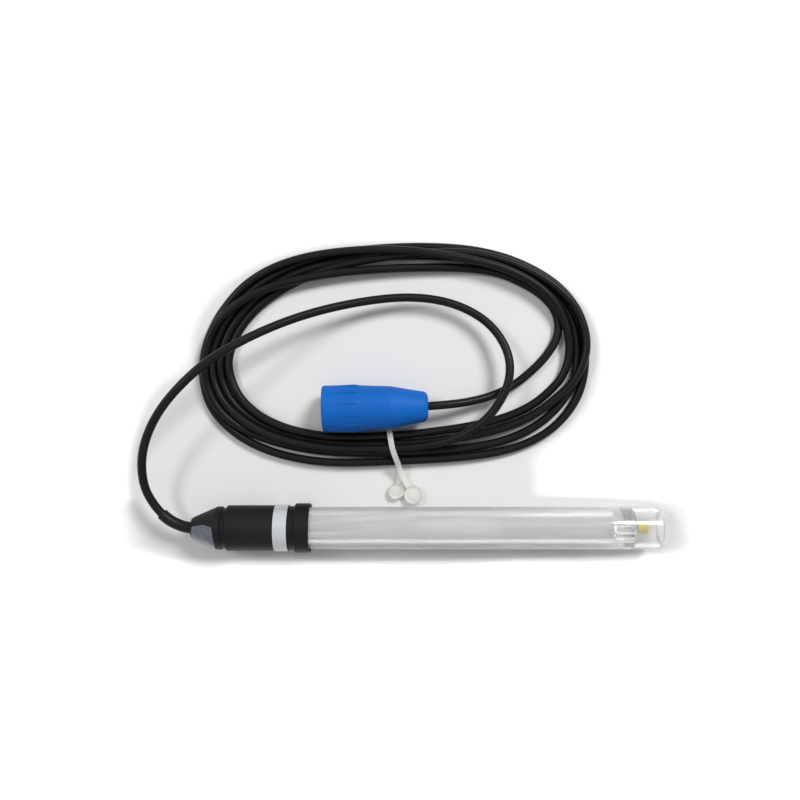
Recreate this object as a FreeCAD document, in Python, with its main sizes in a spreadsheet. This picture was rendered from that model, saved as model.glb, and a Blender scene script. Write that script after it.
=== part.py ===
import FreeCAD, Part
import math
import os
import Sketcher

# Redox electrode: a clear round shaft with a gold sensor at its tip, a black head, and a thin coaxial
# lead that is wound into an oval coil, held by a nylon tie and ended by a bayonet plug in a blue hood.
# Millimetres. +X runs from the cable end of the electrode to its tip, +Z is up, and the electrode lies
# on a table at Z = 0. The origin is on the table below the middle of the electrode.

Vector = FreeCAD.Vector

SIZES = [
    # Electrode
    ("overall_length", 133.2, "nose face to shaft tip"),
    ("shaft_diameter", 12.0, "outside of the clear shaft"),
    ("chamber_bore", 7.0, "bore drilled into the shaft from its rear"),
    ("drill_point_length", 2.1, "conical end of that bore"),
    ("web_thickness", 4.1, "solid wall between the chamber and the tip recess"),
    ("recess_diameter", 9.0, "open recess round the sensor"),
    ("recess_depth", 7.7, "recess floor to shaft tip"),
    ("tip_chamfer", 0.6, "outer edge of the tip"),
    ("spigot_diameter", 9.2, "reduced rear end of the shaft"),
    ("spigot_length", 11.1, "part of the shaft glued into the head"),
    ("front_chamber_length", 33.4, "electrolyte chamber, to the drill point"),
    ("chamber_plug_length", 23.5, "milky plug between the chambers"),
    ("rear_chamber_length", 23.0, "air space behind the milky plug"),
    ("stopper_flange_length", 2.6, "front rim of the rear stopper"),
    ("stopper_body_diameter", 5.2, "rear stopper behind its rim"),
    ("stopper_hole_diameter", 2.8, "wire passage through the rear stopper"),
    ("glue_gap", 0.05, "radial gap of pieces glued or cast into a bore"),
    # Sensor
    ("stem_diameter", 2.6, "stem that carries the gold cap"),
    ("stem_length", 11.0, "whole stem"),
    ("stem_hole_diameter", 0.55, "lead passage in the stem"),
    ("cap_wall", 0.35, "gold cap wall"),
    ("cap_length", 3.1, "gold cap"),
    ("cap_hole_diameter", 0.9, "small hole in the cap's end"),
    ("cap_edge", 0.3, "bevel on the cap's end"),
    ("sensor_setback", 3.7, "cap end behind the shaft tip"),
    ("junction_diameter", 1.0, "ceramic junction pin"),
    ("junction_offset", 2.2, "junction pin from the axis"),
    ("junction_proud", 0.3, "junction pin in front of the recess floor"),
    ("signal_wire_diameter", 0.45, "lead of the gold cap"),
    ("reference_wire_diameter", 0.5, "silver lead of the reference"),
    ("element_diameter", 1.8, "silver chloride element"),
    ("element_length", 20.0, "silver chloride element"),
    ("element_inset", 3.0, "element's rear end in front of the milky plug"),
    ("element_offset", 1.85, "element from the axis"),
    # Head
    ("nose_length", 9.0, "cone with its rim"),
    ("nose_tip_diameter", 5.8, "cone's small end"),
    ("nose_base_diameter", 12.2, "cone's large end"),
    ("nose_rim", 1.7, "straight rim at the cone's large end"),
    ("nose_edge", 0.4, "bevel at the cone's small end"),
    ("nose_bore", 3.4, "cable passage in the cone"),
    ("nose_mouth_diameter", 4.2, "flared mouth of that passage"),
    ("nose_mouth_depth", 1.6, "flared mouth of that passage"),
    ("gland_groove_width", 1.0, "groove between cone and barrel"),
    ("gland_groove_diameter", 11.2, "bottom of that groove"),
    ("gland_spigot_length", 4.4, "part of the cone inside the barrel"),
    ("gland_pocket_diameter", 6.8, "hollow inside the gland spigot"),
    ("gland_pocket_depth", 5.0, "hollow inside the gland spigot"),
    ("barrel_diameter", 12.9, "head barrel"),
    ("barrel_length", 17.7, "barrel up to the neck"),
    ("barrel_edge", 0.35, "bevel at the barrel's rear edge"),
    ("neck_diameter", 12.4, "neck between barrel and collar"),
    ("neck_length", 1.7, "neck"),
    ("collar_diameter", 14.0, "collar, the widest part"),
    ("collar_length", 4.4, "collar with its open skirt"),
    ("collar_edge", 0.35, "bevel of the collar's outer edges"),
    ("skirt_bore", 13.1, "inside of the skirt"),
    ("skirt_depth", 4.0, "skirt floor to its mouth"),
    ("skirt_lead_in", 0.15, "chamfer inside the skirt's mouth"),
    ("label_width", 3.8, "silver band on the barrel"),
    ("label_margin", 0.1, "barrel left bare in front of the band"),
    ("label_thickness", 0.12, "band"),
    ("sealant_length", 5.3, "compound over the nose, along the axis"),
    ("sealant_thickness", 0.2, "compound over the nose"),
    ("sealant_angle", 165.0, "compound round the nose, degrees"),
    ("sealant_start", -11.0, "first edge of the compound from the top, degrees"),
    ("core_diameter", 1.5, "cable's inner insulation"),
    ("conductor_diameter", 0.5, "cable's inner conductor"),
    ("core_length", 2.4, "inner insulation bared in the head"),
    ("conductor_length", 0.9, "conductor bared beyond its insulation"),
    ("splice_length", 1.6, "crimp sleeve on a splice"),
    ("splice_wall", 0.2, "crimp sleeve on a splice"),
    ("splice_offset", 1.9, "reference splice from the axis"),
    ("pigtail_diameter", 0.4, "twisted end of the cable's braid"),
    # Plug and hood, measured from the hood's mouth towards the cable
    ("plug_x", -29.3, "hood mouth centre"),
    ("plug_y", 33.9, "hood mouth centre"),
    ("plug_turn", 1.4, "plug axis turned from +X, degrees"),
    ("hood_length", 30.0, "mouth to rear end"),
    ("hood_mouth_diameter", 13.4, "hood at the mouth"),
    ("hood_grip_length", 9.0, "straight front part"),
    ("hood_waist_diameter", 12.8, "behind the grip"),
    ("hood_waist_place", 13.4, "behind the mouth"),
    ("hood_shoulder_diameter", 12.2, "where the taper starts"),
    ("hood_shoulder_place", 19.4, "behind the mouth"),
    ("hood_taper_diameter", 10.1, "on the taper"),
    ("hood_taper_place", 24.8, "behind the mouth"),
    ("hood_tail_diameter", 8.7, "before the rounded end"),
    ("hood_tail_edge", 1.1, "rounded rear end"),
    ("hood_mouth_edge", 0.25, "bevel at the mouth"),
    ("hood_wall_step", 14.1, "depth of the nut's seat"),
    ("hood_hollow_diameter", 9.2, "hollow behind the nut"),
    ("hood_hollow_end_diameter", 6.2, "rear end of that hollow"),
    ("hood_hollow_end", 23.6, "rear end of that hollow"),
    ("hood_cable_hole", 2.8, "cable hole in the rear wall"),
    ("rib_count", 12, "grip ribs round the hood"),
    ("rib_height", 0.2, "rib above the grip's surface"),
    ("rib_width", 0.9, "rib"),
    ("rib_turn", 15.0, "first rib from the top, degrees"),
    ("rib_start", 2.0, "front end of a rib"),
    ("rib_peak", 8.6, "where a rib is highest"),
    ("rib_end", 11.2, "rear end of a rib"),
    ("rib_rest", 0.22, "hood axis above a bare grip's radius, so that the ribs turn free of the table"),
    ("nut_diameter", 11.9, "bayonet nut"),
    ("nut_bore", 9.8, "bayonet nut"),
    ("nut_front", 0.6, "nut behind the hood's mouth"),
    ("nut_shoulder_length", 1.0, "inner rear shoulder of the nut"),
    ("nut_edge", 0.25, "bevel in the nut's mouth"),
    ("lug_slot_width", 2.2, "bayonet slot"),
    ("lug_slot_entry", 2.6, "straight entry of the slot"),
    ("lug_slot_rise", 2.6, "axial rise of the cam"),
    ("lug_slot_sweep", 70.0, "turn of the cam, degrees"),
    ("press_gap", 0.03, "radial gap of pressed pieces"),
    ("running_gap", 0.08, "radial gap of turning pieces"),
    ("float_travel", 0.8, "axial travel of the coupling"),
    ("sleeve_front", 2.0, "contact sleeve behind the mouth"),
    ("sleeve_diameter", 8.1, "contact sleeve"),
    ("sleeve_bore", 6.4, "contact sleeve"),
    ("sleeve_slot_width", 0.4, "slots between the contact fingers"),
    ("sleeve_slot_length", 4.5, "slots between the contact fingers"),
    ("flange_place", 9.4, "front face of the body's flange"),
    ("flange_length", 1.2, "body's flange"),
    ("flange_diameter", 9.6, "body's flange"),
    ("spring_height", 1.6, "spring washer at rest"),
    ("spring_thickness", 0.3, "spring washer"),
    ("slip_ring_thickness", 0.8, "ring between spring and nut"),
    ("barrel_rear_diameter", 6.8, "plug body behind the flange"),
    ("barrel_rear_bore", 4.8, "plug body behind the flange"),
    ("barrel_rear_end", 16.0, "rear face of the plug body"),
    ("snap_ring_gap", 0.1, "nut to snap ring"),
    ("snap_ring_thickness", 0.6, "snap ring"),
    ("snap_ring_diameter", 8.4, "snap ring"),
    ("snap_ring_seat", 6.2, "groove for the snap ring"),
    ("snap_ring_opening", 2.0, "split in the snap ring"),
    ("stub_diameter", 2.7, "crimp stub"),
    ("stub_bore", 1.6, "crimp stub"),
    ("stub_end", 21.4, "rear end of the crimp stub"),
    ("gasket_thickness", 0.8, "sealing ring in front of the flange"),
    ("insulator_front", 5.0, "front face of the insulator"),
    ("insulator_step", 10.4, "insulator's change of diameter"),
    ("insulator_rear", 15.0, "rear face of the insulator"),
    ("socket_bore", 4.9, "insulator's front hollow"),
    ("socket_depth", 3.5, "insulator's front hollow"),
    ("pin_diameter", 1.36, "centre pin"),
    ("pin_front", 3.2, "tip of the centre pin"),
    ("pin_point", 0.8, "pointed tip of the centre pin"),
    ("pin_pot_diameter", 2.2, "rear end of the centre pin"),
    ("pin_pot_place", 13.4, "rear end of the centre pin"),
    ("pin_pot_length", 2.0, "rear end of the centre pin"),
    ("braid_wall", 0.3, "braid over the crimp stub"),
    ("ferrule_wall", 0.5, "crimp ferrule"),
    ("ferrule_front", 16.3, "front end of the ferrule"),
    ("ferrule_lip", 0.8, "ferrule closed on the cable"),
    ("core_gap", 0.2, "cable end behind the stub"),
    # Cable
    ("cable_diameter", 2.5, "coaxial cable"),
    ("jacket_setback", 6.1, "end of the cable jacket behind the shaft's rear end"),
    ("shrink_sleeve_wall", 0.35, "sleeve over the cable at the nose"),
    ("shrink_sleeve_gap", 0.03, "sleeve to cable"),
    ("sleeve_inset", 1.0, "start of the sleeve in the nose, after the cable's first straight"),
    ("sleeve_tail", 0.3, "sleeve beyond its last bend"),
    ("coil_height", 4.9, "two layers of cable"),
    ("coil_edge", 1.1, "rounded edges of the wound bundle"),
    ("coil_outer_x", -8.7, "centre of the outer oval"),
    ("coil_outer_y", 49.4, "centre of the outer oval"),
    ("coil_outer_half_length", 57.0, "outer oval"),
    ("coil_outer_half_width", 32.9, "outer oval"),
    ("coil_outer_tilt", 2.5, "outer oval, degrees"),
    ("coil_inner_x", -7.9, "centre of the inner oval"),
    ("coil_inner_y", 50.3, "centre of the inner oval"),
    ("coil_inner_half_length", 48.1, "inner oval"),
    ("coil_inner_half_width", 22.6, "inner oval"),
    ("coil_inner_tilt", 4.9, "inner oval, degrees"),
    ("coil_squareness", 2.5, "exponent of both ovals"),
    ("hood_clearance", 0.6, "coil to hood"),
    # Tie
    ("tie_x", -8.9, "middle of the tie's loop over the bundle"),
    ("tie_y", 22.6, "middle of the tie's loop over the bundle"),
    ("tie_turn", -73.8, "run of the tie over the bundle, degrees"),
    ("strap_width", 1.5, "strap"),
    ("strap_thickness", 0.9, "strap"),
    ("strap_gap", 0.1, "strap to bundle"),
    ("strap_corner", 1.0, "inside corners of the loop"),
    ("knot_x", -6.7, "where the strap's ends meet"),
    ("knot_y", 11.7, "where the strap's ends meet"),
    ("knot_diameter", 2.6, "where the strap's ends meet"),
    ("small_button_x", -8.9, "button on the left"),
    ("small_button_y", 9.9, "button on the left"),
    ("small_button_diameter", 4.4, "button on the left"),
    ("large_button_x", -3.7, "button on the right"),
    ("large_button_y", 8.9, "button on the right"),
    ("large_button_diameter", 5.6, "button on the right"),
    ("button_height", 2.4, "both buttons"),
    ("button_edge", 0.7, "rounded edges of both buttons"),
]

doc = FreeCAD.newDocument("redox_electrode")
sheet = doc.addObject("Spreadsheet::Sheet", "Sizes")
for row, (alias, value, meaning) in enumerate(SIZES, start=1):
    sheet.set(f"A{row}", alias)
    sheet.set(f"B{row}", str(value))
    sheet.set(f"C{row}", meaning)
    sheet.setAlias(f"B{row}", alias)
doc.recompute()

nodes = {}


def size(alias):
    """Value of one cell of the sheet."""
    return float(sheet.get(alias))


def cell(alias):
    """The same cell as part of an expression."""
    return "Sizes." + alias


def half(alias):
    return cell(alias) + " / 2"


def plus(*terms):
    """Sum of places, lengths and gaps, as an expression."""
    return " + ".join(terms)


def minus(first, *terms):
    return first + "".join(" - (" + term + ")" for term in terms)


def keep(label, piece):
    """Makes a document object one of the part's nodes."""
    piece.Label = label
    nodes[label] = piece
    return piece


# Frames: the electrode's axis and the plug's axis both run along local X
def on_electrode(piece, roll=0.0):
    piece.Placement = FreeCAD.Placement(Vector(), FreeCAD.Rotation(Vector(1, 0, 0), roll))
    piece.setExpression("Placement.Base.z", half("collar_diameter"))


def on_plug(piece, roll=0.0):
    turn = FreeCAD.Rotation(Vector(0, 0, 1), size("plug_turn"))
    turn = turn.multiply(FreeCAD.Rotation(Vector(1, 0, 0), roll))
    piece.Placement = FreeCAD.Placement(Vector(), turn)
    piece.setExpression("Placement.Base.x", cell("plug_x"))
    piece.setExpression("Placement.Base.y", cell("plug_y"))
    piece.setExpression("Placement.Base.z", plus(half("hood_mouth_diameter"), cell("rib_rest")))


def origin_plane(body, role):
    for feature in body.Origin.OriginFeatures:
        if feature.Role == role:
            return feature
    raise ValueError("no origin plane " + role)


def closed_profile(body, name, corners):
    """Closed polygon in the body's XZ plane; every corner is (along, out), as expressions."""
    sketch = body.newObject("Sketcher::SketchObject", name)
    sketch.AttachmentSupport = [(origin_plane(body, "XZ_Plane"), "")]
    sketch.MapMode = "FlatFace"
    count = len(corners)
    rough = []
    for index in range(count):
        angle = 2 * math.pi * index / count
        rough.append(Vector(30 * math.cos(angle), 50 + 30 * math.sin(angle), 0))
    for index in range(count):
        sketch.addGeometry(Part.LineSegment(rough[index], rough[(index + 1) % count]), False)
    for index in range(count):
        after = (index + 1) % count
        sketch.addConstraint(Sketcher.Constraint("Coincident", index, 2, after, 1))
    for index, (along, out) in enumerate(corners):
        fix_corner(sketch, index, "DistanceX", rough[index].x, along, -2)
        fix_corner(sketch, index, "DistanceY", rough[index].y, out, -1)
    return sketch


def fix_corner(sketch, index, kind, start, expression, axis):
    """Ties one coordinate of a corner to its expression, or puts the corner on the sketch's axis."""
    if expression == "0":
        sketch.addConstraint(Sketcher.Constraint("PointOnObject", index, 1, axis))
        return
    number = sketch.addConstraint(Sketcher.Constraint(kind, index, 1, start))
    sketch.setExpression(f"Constraints[{number}]", expression)


def turned(name, corners, angle=None):
    """Body turned about local X from a closed profile."""
    body = doc.addObject("PartDesign::Body", name + "_body")
    sketch = closed_profile(body, name + "_profile", corners)
    turning = body.newObject("PartDesign::Revolution", name + "_turned")
    turning.Profile = sketch
    turning.ReferenceAxis = (sketch, ["H_Axis"])
    turning.Angle = 360.0
    if angle:
        turning.setExpression("Angle", angle)
    return body


def ring(name, rear, front, inner, outer):
    """Plain turned ring between two places, with an inner and an outer radius."""
    return turned(name, [(rear, inner), (rear, outer), (front, outer), (front, inner)])


def rod(name, rear, front, outer):
    """Plain turned rod between two places."""
    return turned(name, [(rear, "0"), (rear, outer), (front, outer), (front, "0")])


def cut(name, base, tool):
    piece = doc.addObject("Part::Cut", name + "_cut")
    piece.Base = base
    piece.Tool = tool
    return piece


def cut_all(name, base, tools):
    together = doc.addObject("Part::MultiFuse", name + "_tools")
    together.Shapes = tools
    return cut(name, base, together)


# Tubes of straight runs joined by tangent arcs
def bend(before, point, after):
    """Start, middle, end and radius of the arc that rounds one point of a route."""
    inward = (point - before).normalize()
    outward = (after - point).normalize()
    half_turn = inward.getAngle(outward) / 2
    shorter = min((point - before).Length, (after - point).Length)
    tangent = 0.45 * shorter
    radius = tangent / math.tan(half_turn)
    towards_centre = (outward - inward).normalize()
    middle = point + towards_centre * (radius / math.cos(half_turn) - radius)
    return point - inward * tangent, middle, point + outward * tangent, radius


def route_wire(points, start=None, end=None):
    """Wire along a route, or along its part between a place on its first and on its last run."""
    edges = []
    radii = []
    start = start or points[0]
    for before, point, after in zip(points, points[1:], points[2:]):
        first, middle, last, radius = bend(before, point, after)
        edges.append(Part.LineSegment(start, first).toShape())
        edges.append(Part.Arc(first, middle, last).toShape())
        radii.append(radius)
        start = last
    edges.append(Part.LineSegment(start, end or points[-1]).toShape())
    return Part.Wire(edges), radii


def tube_shape(points, radius, start=None, end=None):
    wire, radii = route_wire(points, start, end)
    direction = (points[1] - points[0]).normalize()
    section = Part.Wire([Part.makeCircle(radius, start or points[0], direction)])
    solid = wire.makePipeShell([section], True, False)
    expected = math.pi * radius ** 2 * wire.Length
    if abs(solid.Volume - expected) > 0.01 * expected:
        raise ValueError(f"tube volume {solid.Volume:.2f} instead of {expected:.2f}")
    return solid, wire.Length, radii


def tube(label, points, radius, report=False):
    solid, length, radii = tube_shape(points, radius)
    if report:
        listed = " ".join(f"{value:.1f}" for value in radii)
        print(f"{label}: length {length:.1f} mm, bend radii {listed}")
    piece = doc.addObject("Part::Feature", label + "_tube")
    piece.Shape = solid
    return keep(label, piece)


# Places along the electrode, as expressions, from the nose face to the tip
NOSE = "-" + half("overall_length")
TIP = half("overall_length")
NOSE_BASE = plus(NOSE, cell("nose_length"))
BARREL_REAR = plus(NOSE_BASE, cell("gland_groove_width"))
BARREL_FRONT = plus(BARREL_REAR, cell("barrel_length"))
COLLAR_REAR = plus(BARREL_FRONT, cell("neck_length"))
COLLAR_MOUTH = plus(COLLAR_REAR, cell("collar_length"))
SKIRT_FLOOR = minus(COLLAR_MOUTH, cell("skirt_depth"))
SPIGOT_REAR = minus(SKIRT_FLOOR, cell("spigot_length"))
GLAND_FRONT = plus(BARREL_REAR, cell("gland_spigot_length"))
RECESS_FLOOR = minus(TIP, cell("recess_depth"))
DRILL_END = minus(RECESS_FLOOR, cell("web_thickness"))
DRILL_SHOULDER = minus(DRILL_END, cell("drill_point_length"))
PLUG_FRONT = minus(DRILL_END, cell("front_chamber_length"))
PLUG_REAR = minus(PLUG_FRONT, cell("chamber_plug_length"))
STOPPER_FRONT = minus(PLUG_REAR, cell("rear_chamber_length"))
FLANGE_REAR = minus(STOPPER_FRONT, cell("stopper_flange_length"))
CAP_FRONT = minus(TIP, cell("sensor_setback"))
CAP_REAR = minus(CAP_FRONT, cell("cap_length"))
STEM_FRONT = minus(CAP_FRONT, cell("cap_wall"))
STEM_REAR = minus(STEM_FRONT, cell("stem_length"))

# The same places as numbers, for routes and cuts
axis_height = size("collar_diameter") / 2
tip = size("overall_length") / 2
recess_floor = tip - size("recess_depth")
drill_end = recess_floor - size("web_thickness")
plug_front = drill_end - size("front_chamber_length")
plug_rear = plug_front - size("chamber_plug_length")
stopper_front = plug_rear - size("rear_chamber_length")
stem_front = tip - size("sensor_setback") - size("cap_wall")
stem_rear = stem_front - size("stem_length")
nose = -tip
barrel_rear = nose + size("nose_length") + size("gland_groove_width")
gland_front = barrel_rear + size("gland_spigot_length")
skirt_floor = (barrel_rear + size("barrel_length") + size("neck_length")
               + size("collar_length") - size("skirt_depth"))
spigot_rear = skirt_floor - size("spigot_length")
jacket_end = spigot_rear - size("jacket_setback")


def glued(radius):
    """Radius of a piece that is glued or cast into a bore of the given radius."""
    return minus(radius, cell("glue_gap"))


# Clear shaft, drilled from the rear, with an open recess at its tip
def build_shaft():
    bore = half("chamber_bore")
    stem_hole = plus(half("stem_diameter"), cell("press_gap"))
    shaft = turned("shaft", [
        (SPIGOT_REAR, bore),
        (SPIGOT_REAR, half("spigot_diameter")),
        (SKIRT_FLOOR, half("spigot_diameter")),
        (SKIRT_FLOOR, half("shaft_diameter")),
        (minus(TIP, cell("tip_chamfer")), half("shaft_diameter")),
        (TIP, minus(half("shaft_diameter"), cell("tip_chamfer"))),
        (TIP, half("recess_diameter")),
        (RECESS_FLOOR, half("recess_diameter")),
        (RECESS_FLOOR, stem_hole),
        (minus(DRILL_END, cell("drill_point_length") + " * (" + stem_hole + ") / (" + bore + ")"),
         stem_hole),
        (DRILL_SHOULDER, bore),
    ])
    junction_hole = doc.addObject("Part::Cylinder", "junction_hole")
    junction_hole.setExpression("Radius", plus(half("junction_diameter"), cell("press_gap")))
    junction_hole.setExpression("Height", plus(cell("web_thickness"), cell("chamber_bore")))
    junction_hole.Placement = FreeCAD.Placement(Vector(), FreeCAD.Rotation(Vector(0, 1, 0), 90))
    junction_hole.setExpression("Placement.Base.x", minus(DRILL_SHOULDER, cell("tip_chamfer")))
    junction_hole.setExpression("Placement.Base.y", "-" + cell("junction_offset"))
    shaft_tube = keep("shaft_tube", cut("shaft_tube", shaft, junction_hole))
    on_electrode(shaft_tube)


# Stem through the web, with the gold cap on its front end
def build_sensor():
    stem = ring("stem", STEM_REAR, STEM_FRONT, half("stem_hole_diameter"), half("stem_diameter"))
    on_electrode(keep("sensor_stem", stem))
    inside = plus(half("stem_diameter"), cell("press_gap"))
    outside = plus(inside, cell("cap_wall"))
    cap = turned("cap", [
        (CAP_REAR, inside),
        (CAP_REAR, outside),
        (minus(CAP_FRONT, cell("cap_edge")), outside),
        (CAP_FRONT, minus(outside, cell("cap_edge"))),
        (CAP_FRONT, half("cap_hole_diameter")),
        (STEM_FRONT, half("cap_hole_diameter")),
        (STEM_FRONT, inside),
    ])
    on_electrode(keep("gold_cap", cap))
    pin = rod("junction", minus(DRILL_SHOULDER, cell("glue_gap")),
              plus(RECESS_FLOOR, cell("junction_proud")), half("junction_diameter"))
    on_electrode(keep("junction_pin", pin))
    pin.setExpression("Placement.Base.y", "-" + cell("junction_offset"))


# Leads inside the shaft: the gold cap's wire and the silver wire of the reference
def lead_point(along, across, up):
    return Vector(along, across, axis_height + up)


def passage(share):
    """Place along the rear stopper, from the shaft's rear end to the stopper's front."""
    return spigot_rear + share * (stopper_front - spigot_rear)


def build_leads():
    signal = [
        lead_point(stem_front - 0.1, 0, 0),
        lead_point(stem_rear - 2.5, 0, 0),
        lead_point(plug_front + 17, -0.5, 0.15),
        lead_point(plug_front + 1, -0.45, 0),
        lead_point(plug_rear + 9, -0.3, 0.1),
        lead_point(plug_rear - 5, -0.6, 0),
        lead_point(stopper_front + 4, 0.35, -0.4),
        lead_point(passage(0.561), 0.4, -0.45),
        lead_point(passage(0.088), 0.3, -0.2),
        lead_point(spigot_rear - 1.0, 0, 0),
        lead_point(spigot_rear - 2.7, 0, 0.01),
    ]
    tube("signal_wire", signal, size("signal_wire_diameter") / 2)
    offset = size("element_offset")
    splice_offset = size("splice_offset")
    element_rear = plug_front + size("element_inset")
    reference = [
        lead_point(element_rear, offset, 0),
        lead_point(plug_front - 6, offset, 0),
        lead_point(plug_rear + 4, offset + 0.1, 0.15),
        lead_point(plug_rear - 9, 2.3, 0.2),
        lead_point(stopper_front + 3, 1.0, 0.3),
        lead_point(passage(0.605), 0.6, 0.35),
        lead_point(passage(0.263), 0.75, 0.3),
        lead_point(spigot_rear + 0.8, 0.8, 0.2),
        lead_point(spigot_rear - 1.2, 1.5, 0.05),
        lead_point(spigot_rear - 2.4, splice_offset, 0),
        lead_point(spigot_rear - 3.5, splice_offset, 0.01),
    ]
    tube("reference_wire", reference, size("reference_wire_diameter") / 2)
    element = rod("element", plus(PLUG_FRONT, cell("element_inset")),
                  plus(PLUG_FRONT, cell("element_inset"), cell("element_length")),
                  half("element_diameter"))
    on_electrode(keep("chloride_element", element))
    element.setExpression("Placement.Base.y", cell("element_offset"))


# What fills the bore: electrolyte gel, milky plug and rear stopper
def build_fillings():
    bore = half("chamber_bore")
    gel = turned("gel", [
        (plus(PLUG_FRONT, cell("glue_gap")), "0"),
        (plus(PLUG_FRONT, cell("glue_gap")), glued(bore)),
        (minus(DRILL_SHOULDER, cell("glue_gap")), glued(bore)),
        (minus(DRILL_END, cell("glue_gap") + " * 2"), "0"),
    ])
    on_electrode(gel)
    inside_gel = [nodes[name] for name in
                  ("sensor_stem", "signal_wire", "chloride_element", "reference_wire", "junction_pin")]
    keep("electrolyte_gel", cut_all("electrolyte_gel", gel, inside_gel))
    wires = [nodes["signal_wire"], nodes["reference_wire"]]
    plug = rod("plug", PLUG_REAR, PLUG_FRONT, glued(bore))
    on_electrode(plug)
    keep("chamber_plug", cut_all("chamber_plug", plug, wires))
    stopper = turned("stopper", [
        (SPIGOT_REAR, half("stopper_hole_diameter")),
        (SPIGOT_REAR, half("stopper_body_diameter")),
        (FLANGE_REAR, half("stopper_body_diameter")),
        (FLANGE_REAR, glued(bore)),
        (STOPPER_FRONT, glued(bore)),
        (STOPPER_FRONT, half("stopper_hole_diameter")),
    ])
    on_electrode(keep("rear_stopper", stopper))


# Black head: barrel, neck and collar in one moulding, and the cone that closes its rear
def build_head():
    seat = plus(half("spigot_diameter"), cell("glue_gap"))
    collar = half("collar_diameter")
    skirt = half("skirt_bore")
    shell = turned("shell", [
        (BARREL_REAR, seat),
        (BARREL_REAR, minus(half("barrel_diameter"), cell("barrel_edge"))),
        (plus(BARREL_REAR, cell("barrel_edge")), half("barrel_diameter")),
        (BARREL_FRONT, half("barrel_diameter")),
        (BARREL_FRONT, half("neck_diameter")),
        (COLLAR_REAR, half("neck_diameter")),
        (COLLAR_REAR, minus(collar, cell("collar_edge"))),
        (plus(COLLAR_REAR, cell("collar_edge")), collar),
        (minus(COLLAR_MOUTH, cell("collar_edge") + " / 2"), collar),
        (COLLAR_MOUTH, minus(collar, cell("collar_edge") + " / 2")),
        (COLLAR_MOUTH, plus(skirt, cell("skirt_lead_in"))),
        (minus(COLLAR_MOUTH, cell("skirt_lead_in")), skirt),
        (SKIRT_FLOOR, skirt),
        (SKIRT_FLOOR, seat),
    ])
    on_electrode(keep("head_shell", shell))
    slope = ("(" + minus(half("nose_base_diameter"), half("nose_tip_diameter")) + ") / ("
             + minus(cell("nose_length"), cell("nose_rim")) + ")")
    cone = turned("cone", [
        (plus(NOSE, cell("nose_mouth_depth")), half("nose_bore")),
        (NOSE, half("nose_mouth_diameter")),
        (NOSE, minus(half("nose_tip_diameter"), cell("nose_edge") + " / 2")),
        (plus(NOSE, cell("nose_edge")), plus(half("nose_tip_diameter"), slope + " * " + cell("nose_edge"))),
        (minus(NOSE_BASE, cell("nose_rim")), half("nose_base_diameter")),
        (minus(NOSE_BASE, cell("nose_edge")), half("nose_base_diameter")),
        (NOSE_BASE, minus(half("nose_base_diameter"), cell("nose_edge"))),
        (NOSE_BASE, half("gland_groove_diameter")),
        (BARREL_REAR, half("gland_groove_diameter")),
        (BARREL_REAR, half("spigot_diameter")),
        (GLAND_FRONT, half("spigot_diameter")),
        (GLAND_FRONT, half("gland_pocket_diameter")),
        (minus(GLAND_FRONT, cell("gland_pocket_depth")), half("gland_pocket_diameter")),
        (minus(GLAND_FRONT, cell("gland_pocket_depth")), half("nose_bore")),
    ])
    on_electrode(keep("gland_nose", cone))
    band = ring("band", minus(BARREL_FRONT, cell("label_margin"), cell("label_width")),
                minus(BARREL_FRONT, cell("label_margin")), plus(half("barrel_diameter"), "0.01"),
                plus(half("barrel_diameter"), "0.01", cell("label_thickness")))
    on_electrode(keep("label_band", band))
    sealant_front = plus(NOSE, cell("nose_edge"), cell("sealant_length"))
    rear_radius = plus(half("nose_tip_diameter"), slope + " * " + cell("nose_edge"), cell("glue_gap"))
    front_radius = plus(rear_radius, slope + " * " + cell("sealant_length"))
    skin = turned("skin", [
        (plus(NOSE, cell("nose_edge")), rear_radius),
        (plus(NOSE, cell("nose_edge")), plus(rear_radius, cell("sealant_thickness"))),
        (minus(sealant_front, cell("sealant_thickness")), plus(front_radius, cell("glue_gap"))),
        (sealant_front, front_radius),
    ], cell("sealant_angle"))
    on_electrode(keep("nose_sealant", skin), size("sealant_start"))


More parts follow.
